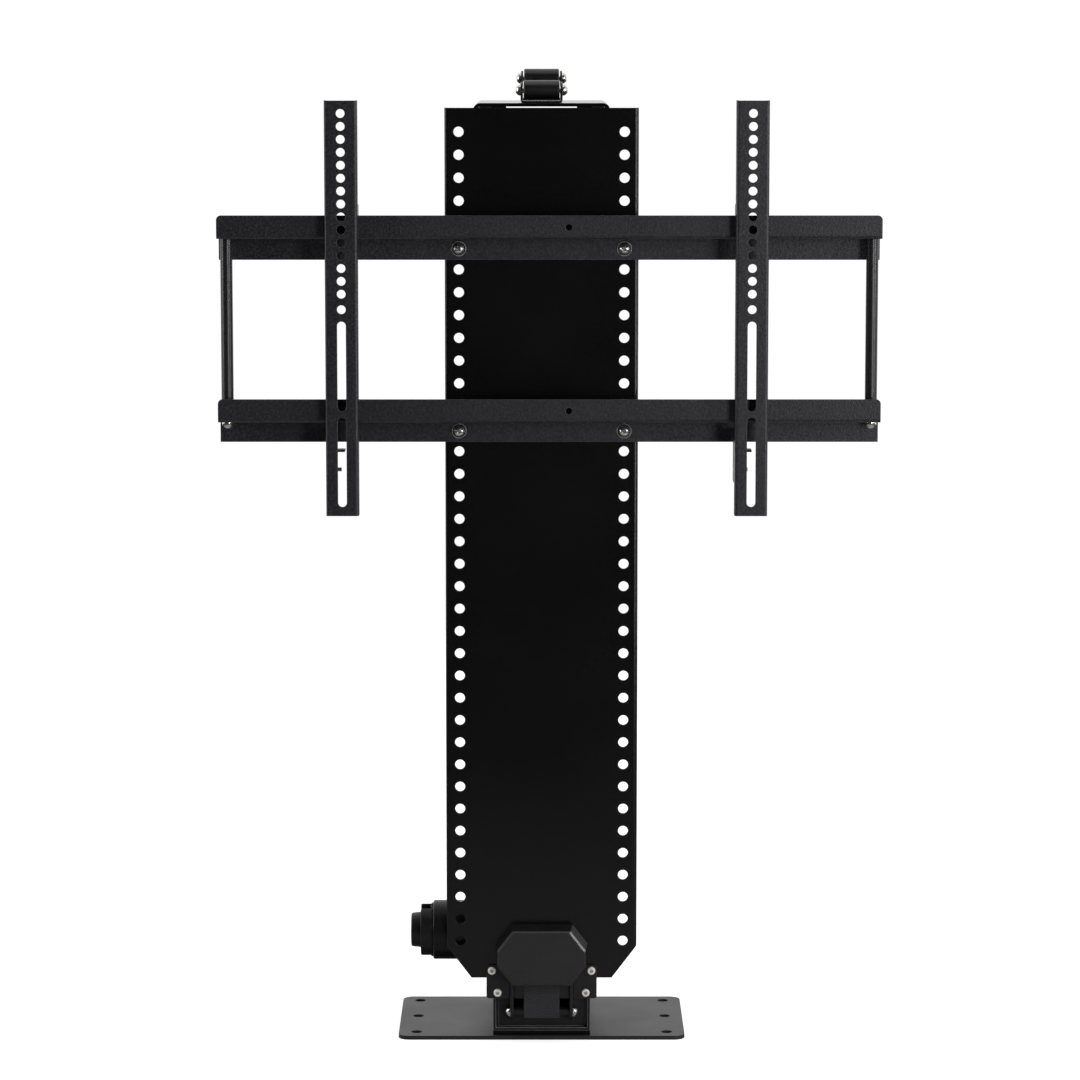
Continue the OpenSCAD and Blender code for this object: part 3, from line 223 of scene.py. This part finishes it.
anchorCoat = {**sheetCoat, "tone": (0.0085, 0.0085, 0.009), "deep": (0.0062, 0.0062, 0.0066), "rough": 0.36,
              "speckle": 0.5, "grainDeep": 0.00004, "edgeRadius": 0.0016}
# the foot's tone is lighter than the sheet coat's to stand in for light that doesn't reach inside it, and its
# bright edge tone is a painted highlight along the front edges
footPaintedLightCoat = {**sheetCoat, "tone": (0.0075, 0.0075, 0.0078), "deep": (0.0058, 0.0058, 0.006), "rough": 0.36,
            "edgeTone": (0.55, 0.55, 0.56), "edgeRadius": 0.001}
# the spacer is near black as painted shadow under the foot's front edge
spacerPaintedShadowCoat = {**sheetCoat, "tone": (0.002, 0.002, 0.002), "deep": (0.0015, 0.0015, 0.0015), "gloss": 0.2,
              "edgeShare": 0.1}


# moulded plastic: a fine etched grain and faint flow marks
mouldTexture = {"refraction": 1.49, "flowDetail": 2.0, "flowSpan": (0.35, 0.65), "roughFlow": 0.03}


def mouldedPlastic(name, look):
    sockets = {"IOR": mouldTexture["refraction"], "Specular IOR Level": look["gloss"]}
    finish, tree, shader = newFinish(name, sockets)
    place = addNode(tree, "ShaderNodeTexCoord").outputs["Object"]
    edge, thin = softEdges(tree, look["edgeRadius"])
    cells = {"Vector": place, "Scale": 1 / look["etchSize"]}
    etched = addNode(tree, "ShaderNodeTexVoronoi", cells).outputs["Distance"]
    flow = noiseOf(tree, place, look["flowSize"], mouldTexture["flowDetail"])
    tone = toneRamp(tree, flow, mouldTexture["flowSpan"], (look["deep"], look["tone"]))
    tree.links.new(edgeWearAndHighlightTone(tree, thin, tone, look), shader.inputs["Base Color"])
    dull = around(tree, flow, look["rough"], mouldTexture["roughFlow"])
    tree.links.new(dull, shader.inputs["Roughness"])
    bump = addNode(tree, "ShaderNodeBump", {"Distance": look["etchDeep"], "Height": etched, "Normal": edge})
    tree.links.new(bump.outputs[0], shader.inputs["Normal"])
    return finish


coverPlastic = {"tone": (0.0158, 0.0153, 0.0156), "deep": (0.0132, 0.0128, 0.0130),
                "edgeTone": (0.03, 0.03, 0.032), "etchSize": 0.0009, "etchDeep": 0.00003, "flowSize": 0.03,
                "rough": 0.23, "gloss": 0.5, "edgeRadius": 0.0005, "edgeShare": 0.35}
collarPlastic = {**coverPlastic, "tone": (0.0042, 0.0042, 0.0044), "deep": (0.0034, 0.0034, 0.0036),
                 "edgeTone": (0.02, 0.02, 0.021), "rough": 0.36, "gloss": 0.34}
rollerPlastic = {"tone": (0.003, 0.003, 0.0032), "deep": (0.0024, 0.0024, 0.0026),
                 "edgeTone": (0.02, 0.02, 0.021), "etchSize": 0.0012, "etchDeep": 0.000015, "flowSize": 0.02,
                 "rough": 0.32, "gloss": 0.55, "edgeRadius": 0.0004, "edgeShare": 0.3}


# plated metal: fine lines along one way, a little haze in the gloss, painted shade in the sockets and corners
plateTexture = {"lineDetail": 3.0, "lineRough": 0.6, "hazeDetail": 3.0, "roughHaze": 0.04}


def platedMetal(name, look):
    finish, tree, shader = newFinish(name, {"Metallic": look["metal"]})
    place = addNode(tree, "ShaderNodeTexCoord").outputs["Object"]
    edge, thin = softEdges(tree, look["edgeRadius"])
    lined = addNode(tree, "ShaderNodeMapping", {"Vector": place, "Scale": look["stretch"]}).outputs[0]
    lines = noiseOf(tree, lined, look["lineSize"], plateTexture["lineDetail"], plateTexture["lineRough"])
    haze = noiseOf(tree, place, look["hazeSize"], plateTexture["hazeDetail"])
    tone = toneRamp(tree, haze, noiseSpan, (look["deep"], look["tone"]))
    tone = edgeWearAndHighlightTone(tree, thin, tone, look)
    # painted shade: the tone darkens towards the recess tone where ambient occlusion finds a socket or corner
    tone = mixTone(tree, recess(tree, look["recess"]), look["recessShadeTone"], tone)
    tree.links.new(tone, shader.inputs["Base Color"])
    dull = combine(tree, around(tree, lines, 0.0, look["roughLines"]),
                   around(tree, haze, look["rough"], plateTexture["roughHaze"]))
    tree.links.new(dull, shader.inputs["Roughness"])
    bump = addNode(tree, "ShaderNodeBump", {"Distance": look["lineDeep"], "Height": lines, "Normal": edge})
    tree.links.new(bump.outputs[0], shader.inputs["Normal"])
    return finish


nickelPlate = {"tone": (0.80, 0.785, 0.75), "deep": (0.68, 0.665, 0.64), "edgeTone": (0.9, 0.88, 0.84),
               "recessShadeTone": (0.03, 0.028, 0.027), "metal": 1.0, "lineSize": 0.0008, "stretch": (1, 1, 1),
               "lineDeep": 0.000006, "hazeSize": 0.004, "rough": 0.15, "roughLines": 0.03, "recess": 0.0015,
               "edgeRadius": 0.0003, "edgeShare": 0.4}
screwPlate = {**nickelPlate, "tone": (0.90, 0.86, 0.80), "deep": (0.80, 0.76, 0.70), "metal": 0.3,
              "recessShadeTone": (0.02, 0.019, 0.018), "rough": 0.36, "recess": 0.003}
# the washers' dark face is a painted reflection of the dark front, and their bright rim a painted highlight
washerPaintedRimPlate = {**nickelPlate, "tone": (0.02, 0.02, 0.021), "deep": (0.015, 0.015, 0.016),
               "edgeTone": (0.95, 0.95, 0.95), "metal": 0.15, "rough": 0.3, "edgeRadius": 0.0009,
               "edgeShare": 1.0}
railBoltPlate = {**nickelPlate, "tone": (0.92, 0.90, 0.86), "deep": (0.84, 0.82, 0.78), "rough": 0.25}
zincPlate = {"tone": (0.58, 0.59, 0.60), "deep": (0.46, 0.47, 0.485), "edgeTone": (0.66, 0.67, 0.68),
             "recessShadeTone": (0.12, 0.12, 0.12), "metal": 1.0, "lineSize": 0.0012, "stretch": (1, 1, 0.03),
             "lineDeep": 0.00001, "hazeSize": 0.02, "rough": 0.34, "roughLines": 0.06, "recess": 0.0015,
             "edgeRadius": 0.0004, "edgeShare": 0.5}
bronzeBush = {**zincPlate, "tone": (0.52, 0.36, 0.17), "deep": (0.40, 0.27, 0.13),
              "edgeTone": (0.60, 0.44, 0.24), "recessShadeTone": (0.10, 0.06, 0.03), "stretch": (1, 1, 1),
              "lineSize": 0.0008, "hazeSize": 0.005, "rough": 0.42}
brassPin = {**bronzeBush, "tone": (0.72, 0.53, 0.24), "deep": (0.60, 0.43, 0.19),
            "edgeTone": (0.80, 0.62, 0.32), "rough": 0.26, "edgeRadius": 0.0002}


# woven webbing: a herringbone twill drawn in the strap's own millimetres (UV), with yarn strands; the colour
# is lighter on the yarns' tops and darker in the dips between them, a painted highlight and painted shade
def wovenWebbing(name, look):
    sockets = {"Sheen Weight": look["sheen"], "Sheen Roughness": look["sheenRough"],
               "Specular IOR Level": look["gloss"]}
    finish, tree, shader = newFinish(name, sockets)
    flat = addNode(tree, "ShaderNodeUVMap", uv_map="strap").outputs["UV"]
    axes = addNode(tree, "ShaderNodeSeparateXYZ", {"Vector": flat})
    across, along = axes.outputs["X"], axes.outputs["Y"]
    slope = combine(tree, along, combine(tree, across, look["column"], "PINGPONG"))
    ridge = wave(tree, slope, look["pitch"])
    strand = combine(tree, wave(tree, across, look["strand"]), look["strandShare"], "MULTIPLY")
    place = addNode(tree, "ShaderNodeTexCoord").outputs["Object"]
    fuzz = noiseOf(tree, place, look["fuzzSize"], look["fuzzDetail"])
    height = combine(tree, combine(tree, ridge, strand), fuzz)
    # painted highlight and shade: yarn tops get the light tone, weave dips the deep tone
    paintedYarnLight = spread(tree, height, 0.0, 1.0, look["heightSpan"])
    tone = toneRamp(tree, paintedYarnLight, look["toneSpan"], (look["deep"], look["tone"]))
    tree.links.new(tone, shader.inputs["Base Color"])
    dull = around(tree, fuzz, look["rough"], look["roughFuzz"])
    tree.links.new(dull, shader.inputs["Roughness"])
    bump = addNode(tree, "ShaderNodeBump", {"Distance": look["yarnDeep"], "Height": height})
    tree.links.new(bump.outputs[0], shader.inputs["Normal"])
    return finish


# column, pitch and strand are in millimetres of the strap
beltWebbing = {"tone": (0.041, 0.040, 0.045), "deep": (0.0035, 0.0035, 0.0038), "toneSpan": (0.28, 0.72),
               "column": 4.5, "pitch": 2.6, "strand": 1.1, "strandShare": 0.35, "heightSpan": (-0.9, 1.9),
               "fuzzSize": 0.0006, "fuzzDetail": 3.0, "rough": 0.7, "roughFuzz": 0.06, "yarnDeep": 0.0002,
               "sheen": 0.12, "sheenRough": 0.5, "gloss": 0.3}

finishes = {  # by material slot
    "sheet_black": powderCoat("sheetCoat", sheetCoat),
    "coat_black": powderCoat("railCoat", railCoat),
    "base_coat": powderCoat("baseCoat", baseCoat),
    "motor_body": powderCoat("motorCoat", motorCoat),
    "plastic_black": mouldedPlastic("coverPlastic", coverPlastic),
    "roller_black": mouldedPlastic("rollerPlastic", rollerPlastic),
    "nickel": platedMetal("nickelPlate", nickelPlate),
    "zinc_steel": platedMetal("zincPlate", zincPlate),
    "bronze": platedMetal("bronzeBush", bronzeBush),
    "webbing": wovenWebbing("beltWebbing", beltWebbing),
}
lidGloss = powderCoat("lidCoat", lidCoat)
anchorBlack = powderCoat("anchorCoat", anchorCoat)
collarBlack = mouldedPlastic("collarPlastic", collarPlastic)
ownFinish = {  # pieces whose tone or gloss differs from the rest of their slot
    "tie_rods": powderCoat("rodCoat", rodCoat),
    "top_plate": powderCoat("topCoat", topCoat),
    "foot": powderCoat("footPaintedLightCoat", footPaintedLightCoat),
    "foot_spacer": powderCoat("spacerPaintedShadowCoat", spacerPaintedShadowCoat),
    "lid_bracket_front": lidGloss,
    "lid_bracket_rear": lidGloss,
    "anchor_plate": anchorBlack,
    "pin_bracket": anchorBlack,
    "anchor_pin": anchorBlack,
    "motor_collar": collarBlack,
    "motor_cap": collarBlack,
    "anchor_screws": platedMetal("screwPlate", screwPlate),
    "rail_bolts": platedMetal("railBoltPlate", railBoltPlate),
    "rail_washers": platedMetal("washerPaintedRimPlate", washerPaintedRimPlate),
}
brass = platedMetal("brassPin", brassPin)
print("finishes:", len(finishes), "by slot,", len(ownFinish), "pieces with their own")

for part in record["subparts"]:
    mesh = nodes[part["node"]].data
    mesh.materials.clear()
    mesh.materials.append(ownFinish.get(part["node"], finishes[part["material_slot"]]))
print("CAD nodes: finished")


# a mesh object that rides on a body, smooth but for edges sharper than sharpFrom, in degrees
def makePiece(name, form, finish, body, sharpFrom=35):
    bmesh.ops.recalc_face_normals(form, faces=form.faces)
    mesh = bpy.data.meshes.new(name)
    form.to_mesh(mesh)
    form.free()
    mesh.shade_smooth()
    mesh.set_sharp_from_angle(angle=math.radians(sharpFrom))
    mesh.materials.append(finish)
    piece = bpy.data.objects.new(name, mesh)
    bpy.context.scene.collection.objects.link(piece)
    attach(piece, body)
    return piece


# the belt: a flat woven section with thin selvedges, swept along its path in the Y-Z plane
# selvedgeThick and woundThick are shares of its thickness, and turnLeast is a count of steps
strap = {"selvedge": 1.6 * mm, "selvedgeThick": 0.45, "wideStep": 3 * mm, "longStep": 8 * mm,
         "turnStep": 1.5 * mm, "turnLeast": 6, "fineStep": 0.5 * mm, "weaveDeep": 0.1 * mm,
         "woundThick": 0.94}


def straightRun(start, end, step):
    count = max(1, round(math.dist(start, end) / step))
    first, last = Vector(start), Vector(end)
    return [(first.lerp(last, i / count), (last - first).normalized()) for i in range(count + 1)]


def turnRun(middle, radii, first, last, step):  # angles in degrees, from +Y towards +Z
    swing = math.radians(last - first)
    count = max(strap["turnLeast"], round(abs(swing) * max(radii) / step))
    run = []
    for i in range(count + 1):
        angle = math.radians(first) + swing * i / count
        out = Vector((math.cos(angle), math.sin(angle)))
        flow = Vector((-out.y, out.x)) * math.copysign(1, swing)
        run.append((Vector(middle) + out * (radii[0] + (radii[1] - radii[0]) * i / count), flow))
    return run


def weaveDip(across, along):  # how far a point of the face lies under the highest yarn
    column, pitch = beltWebbing["column"] * mm, beltWebbing["pitch"] * mm
    zigzag = column - abs(across % (2 * column) - column)
    return strap["weaveDeep"] * (0.5 - 0.5 * math.sin(2 * math.pi * (along + zigzag) / pitch))


def makeStrap(name, node, body, route, thick, step, woven=False):
    low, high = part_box(node)
    half, count = (high.x - low.x) / 2, round((high.x - low.x) / step)
    across = [half * (2 * i / count - 1) for i in range(count + 1)]
    points, marks, faces, along = [], [], [], 0.0
    for i, (at, flow) in enumerate(route):
        along += (at - route[i - 1][0]).length if i else 0.0
        out = Vector((flow.y, -flow.x))
        for side, row in ((1, across), (-1, across[::-1])):
            for u in row:
                thin = max(0.0, abs(u) - half + strap["selvedge"]) / strap["selvedge"]
                rise = thick / 2 * (1 - (1 - strap["selvedgeThick"]) * thin ** 2)
                rise -= weaveDip(u, along) if woven else 0.0
                spot = at + out * rise * side
                points.append((u, spot.x, spot.y))
                marks.append((u / mm, along / mm))
    ring = 2 * len(across)
    for i in range(len(route) - 1):
        for j in range(ring):
            k = (j + 1) % ring
            faces.append((i * ring + j, i * ring + k, (i + 1) * ring + k, (i + 1) * ring + j))
    for start in (0, ring * (len(route) - 1)):  # the two cut ends
        last = start + ring - 1
        faces += [(start + j, start + j + 1, last - 1 - j, last - j) for j in range(count)]
    mesh = bpy.data.meshes.new("outline")
    mesh.from_pydata(points, [], faces)
    form = bmesh.new()
    form.from_mesh(mesh)
    bpy.data.meshes.remove(mesh)
    piece = makePiece(name, form, finishes["webbing"], body)
    chart = piece.data.uv_layers.new(name="strap")
    for loop in piece.data.loops:
        chart.data[loop.index].uv = marks[loop.vertex_index]
    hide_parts(node)
    return piece


def makeBelt():
    frontLow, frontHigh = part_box("belt_front_run")
    rearLow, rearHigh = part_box("belt_rear_run")
    endLow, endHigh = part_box("belt_end")
    drumLow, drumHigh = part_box("drum_belt")
    thick = frontHigh.y - frontLow.y
    frontY, joinZ, pulleyZ = (frontLow.y + frontHigh.y) / 2, frontLow.z, frontHigh.z
    long, wide, turn, fine = strap["longStep"], strap["wideStep"], strap["turnStep"], strap["fineStep"]

    front = makeStrap("beltFrontRun", "belt_front_run", "base",
                      straightRun((frontY, joinZ), (frontY, pulleyZ), long), thick, wide)
    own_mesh(front)

    pulleyY, wrap = (rearLow.y + rearHigh.y) / 2, (rearHigh.y - rearLow.y - thick) / 2
    rear = straightRun((pulleyY + wrap, rearLow.z), (pulleyY + wrap, pulleyZ), long)
    rear += turnRun((pulleyY, pulleyZ), (wrap, wrap), 0, 180, turn)[1:]
    makeStrap("beltRearRun", "belt_rear_run", "base", rear, thick, wide)

    pinY, bend = (endLow.y + endHigh.y) / 2, (endHigh.y - endLow.y - thick) / 2
    pinZ = endLow.z + bend + thick / 2
    loop = straightRun((pinY + bend, joinZ), (pinY + bend, pinZ), fine)
    loop += turnRun((pinY, pinZ), (bend, bend), 0, -180, fine)[1:]
    loop += straightRun((pinY - bend, pinZ), (pinY - bend, endHigh.z), fine)[1:]
    makeStrap("beltEnd", "belt_end", "carriage", loop, thick, fine, woven=True)

    # what is left on the drum: one spiral turn, which grows by the strap's thickness
    middle = ((drumLow.y + drumHigh.y) / 2, (drumLow.z + drumHigh.z) / 2)
    outer = (drumHigh.z - drumLow.z) / 2 - thick / 2
    wound = turnRun(middle, (outer - thick, outer), 0, fullTurn, turn)
    makeStrap("drumBelt", "drum_belt", "drum", wound, thick * strap["woundThick"], wide)


makeBelt()
print("belt: four straps")


# the collar's clip ring: a thin rim, with short teeth that reach the motor body; toothTurn is in degrees
clipRing = {"rim": 0.6 * mm, "gap": 1.3 * mm, "inside": 0.4 * mm, "outside": 1.2 * mm, "rimSteps": 96,
            "teeth": 16, "toothTurn": 8.5, "toothSteps": 4, "ease": 0.12 * mm}
easing = {"sharpFrom": 30, "segments": 2, "profile": 0.5}  # for the ring and for the inlet's latch


def addSector(form, axis, ends, radii, first, last, steps):  # a curved block about the motor's axis
    corners = [(ends[0], radii[0]), (ends[1], radii[0]), (ends[1], radii[1]), (ends[0], radii[1])]
    whole = last - first >= fullTurn
    rings = []
    for i in range(steps + (0 if whole else 1)):
        angle = math.radians(first + (last - first) * i / steps)
        rings.append([form.verts.new((x, axis[0] + r * math.cos(angle), axis[1] + r * math.sin(angle)))
                      for x, r in corners])
    for i in range(steps):
        here, there = rings[i], rings[(i + 1) % len(rings)]
        for j in range(len(corners)):
            form.faces.new((here[j], here[j - 1], there[j - 1], there[j]))
    if not whole:
        form.faces.new(rings[0])
        form.faces.new(rings[-1][::-1])


def easeEdges(form, width):  # a small round on every sharp edge
    least = math.radians(easing["sharpFrom"])
    sharp = [edge for edge in form.edges if edge.is_manifold and edge.calc_face_angle() > least]
    bmesh.ops.bevel(form, geom=sharp, offset=width, segments=easing["segments"], profile=easing["profile"],
                    affect="EDGES")


def makeClipRing():
    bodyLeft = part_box("motor_head")[0].x
    collarLow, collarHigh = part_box("motor_collar")
    axis = ((collarLow.y + collarHigh.y) / 2, (collarLow.z + collarHigh.z) / 2)
    collarR = (collarHigh.z - collarLow.z) / 2
    radii = (collarR - clipRing["inside"], collarR + clipRing["outside"])
    teethLeft = bodyLeft - clipRing["gap"]
    form = bmesh.new()
    rimEnds, toothEnds = (teethLeft - clipRing["rim"], teethLeft), (teethLeft, bodyLeft)
    addSector(form, axis, rimEnds, radii, 0, fullTurn, clipRing["rimSteps"])
    for i in range(clipRing["teeth"]):
        first = i * fullTurn / clipRing["teeth"]
        addSector(form, axis, toothEnds, radii, first, first + clipRing["toothTurn"], clipRing["toothSteps"])
    easeEdges(form, clipRing["ease"])
    makePiece("motorClipRing", form, collarBlack, "base")


# the inlet in the collar's top: three contact pins and the latch that holds the plug
inlet = {"deep": 5 * mm, "forward": 3.75 * mm, "fromEnd": 5.2 * mm, "pins": 3, "pitch": 2.8 * mm,
         "pinForward": 3 * mm, "pinR": 0.6 * mm, "pinHigh": 1.8 * mm, "pinSteps": 20, "joinWithin": 0.01 * mm,
         "pinProfile": ((1, 0), (1, 0.8), (0.75, 0.94), (0.3, 1)),  # shares of the pin's radius and height
         "latchWide": 6 * mm, "latchLong": 1.5 * mm, "latchHigh": 4.2 * mm, "latchFrom": 10.6 * mm,
         "ease": 0.2 * mm}


def makeInletPins(low, middle, floor):
    form = bmesh.new()
    for i in range(inlet["pins"]):
        along = inlet["fromEnd"] + inlet["pitch"] * (i - (inlet["pins"] - 1) / 2)
        centre = Vector((low.x + along, middle - inlet["pinForward"], floor))
        line = [form.verts.new(centre + Vector((share * inlet["pinR"], 0, up * inlet["pinHigh"])))
                for share, up in inlet["pinProfile"]]
        edges = [form.edges.new(pair) for pair in zip(line, line[1:])]
        bmesh.ops.spin(form, geom=line + edges, cent=centre, axis=(0, 0, 1), angle=2 * math.pi,
                       steps=inlet["pinSteps"])
    bmesh.ops.remove_doubles(form, verts=form.verts, dist=inlet["joinWithin"])
    bmesh.ops.holes_fill(form, edges=[edge for edge in form.edges if edge.is_boundary])
    makePiece("inletPins", form, brass, "base")


def makeInletLatch(low, middle, floor):
    form = bmesh.new()
    right, half = low.x + inlet["latchFrom"], inlet["latchWide"] / 2
    left, top = right - inlet["latchLong"], floor + inlet["latchHigh"]
    outline = ((right, floor), (left, floor), (left + inlet["latchLong"] / 2, top), (right, top))
    sides = [[form.verts.new((x, middle + y, z)) for x, z in outline] for y in (-half, half)]
    form.faces.new(sides[0])
    form.faces.new(sides[1][::-1])
    for j in range(len(outline)):
        form.faces.new((sides[0][j], sides[0][j - 1], sides[1][j - 1], sides[1][j]))
    easeEdges(form, inlet["ease"])
    makePiece("inletLatch", form, collarBlack, "base")


def makeInlet():
    low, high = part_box("motor_collar")
    middle, floor = (low.y + high.y) / 2 - inlet["forward"], high.z - inlet["deep"]
    makeInletPins(low, middle, floor)
    makeInletLatch(low, middle, floor)


makeClipRing()
makeInlet()
print("motor: clip ring, inlet pins, latch")


# the floor, the white surroundings and the lamps
studio = {"floorRadius": 2.6, "floorSteps": 96, "floorTone": (0.9, 0.9, 0.9), "floorRough": 0.9,
          "floorGloss": 0.1, "floorGlow": 0.6, "glossNear": 0.4, "glossFar": 0.04, "glossReach": (0.45, 1.5),
          "white": 1.03, "front": 0.025, "back": 1.0, "backSpan": (-0.45, 0.35), "top": 0.15,
          "topSpan": (0.15, 0.85)}
lamps = {
    "keyBox": {"place": (1.35, -2.6, 0.9), "aim": (0, -0.08, 0.6), "size": (0.7, 1.9), "power": 30,
               "tint": (0.97, 0.98, 1.0)},
    "leftStrip": {"place": (-2.2, -0.6, 1.15), "aim": (0, -0.08, 0.7), "size": (0.5, 1.4), "power": 15.5,
                  "tint": (1.0, 0.97, 0.94)},
    "rightStrip": {"place": (1.85, -1.05, 0.97), "aim": (0, -0.1, 0.5), "size": (0.26, 1.2), "power": 12.5,
                   "tint": (1.0, 1.0, 1.0)},
    "topBox": {"place": (0.2, -0.3, 2.7), "aim": (0, 0, 0.5), "size": (1.2, 1.0), "power": 3,
               "tint": (1, 1, 1)},
}


def makeSurroundings(settings):
    world = bpy.data.worlds.new("whiteStudio")
    bpy.context.scene.world = world
    world.use_nodes = True
    tree = world.node_tree
    way = addNode(tree, "ShaderNodeTexCoord").outputs["Generated"]
    axes = addNode(tree, "ShaderNodeSeparateXYZ", {"Vector": way})
    back = spread(tree, axes.outputs["Y"], settings["front"], settings["back"], settings["backSpan"])
    top = spread(tree, axes.outputs["Z"], 0.0, settings["top"], settings["topSpan"])
    light = combine(tree, back, top, "MAXIMUM")
    seen = addNode(tree, "ShaderNodeLightPath").outputs["Is Camera Ray"]
    seen = combine(tree, seen, settings["white"], "MULTIPLY")
    tree.links.new(combine(tree, light, seen, "MAXIMUM"), tree.nodes["Background"].inputs["Strength"])
    tree.nodes["Background"].inputs["Color"].default_value = (1, 1, 1, 1)


def makeFloor(settings):
    form = bmesh.new()
    bmesh.ops.create_circle(form, cap_ends=True, radius=settings["floorRadius"],
                            segments=settings["floorSteps"])
    mesh = bpy.data.meshes.new("floor")
    form.to_mesh(mesh)
    form.free()
    floor = bpy.data.objects.new("floor", mesh)
    bpy.context.scene.collection.objects.link(floor)
    sockets = {"Roughness": settings["floorRough"], "Specular IOR Level": settings["floorGloss"],
               "Emission Color": (1, 1, 1, 1)}
    finish, tree, shader = newFinish("paleFloor", sockets)
    rays = addNode(tree, "ShaderNodeLightPath")
    place = addNode(tree, "ShaderNodeTexCoord").outputs["Object"]
    far = addNode(tree, "ShaderNodeVectorMath", {0: place}, operation="LENGTH").outputs["Value"]
    dim = spread(tree, far, settings["glossNear"], settings["glossFar"], settings["glossReach"])
    tone = mixTone(tree, rays.outputs["Is Glossy Ray"], settings["floorTone"], dim)
    tree.links.new(tone, shader.inputs["Base Color"])
    glow = combine(tree, rays.outputs["Is Camera Ray"], settings["floorGlow"], "MULTIPLY")
    tree.links.new(glow, shader.inputs["Emission Strength"])
    mesh.materials.append(finish)


def makeLamp(name, settings):
    data = bpy.data.lights.new(name, "AREA")
    data.shape = "RECTANGLE"
    data.size, data.size_y = settings["size"]
    data.energy, data.color = settings["power"], settings["tint"]
    lamp = bpy.data.objects.new(name, data)
    lamp.location = settings["place"]
    aim = Vector(settings["aim"]) - Vector(settings["place"])
    lamp.rotation_euler = aim.to_track_quat("-Z", "Y").to_euler()
    bpy.context.scene.collection.objects.link(lamp)


makeSurroundings(studio)
makeFloor(studio)
for lampName, lampSettings in lamps.items():
    makeLamp(lampName, lampSettings)
bpy.context.scene.view_settings.view_transform = "Standard"
print("studio: floor, surroundings,", len(lamps), "lamps")
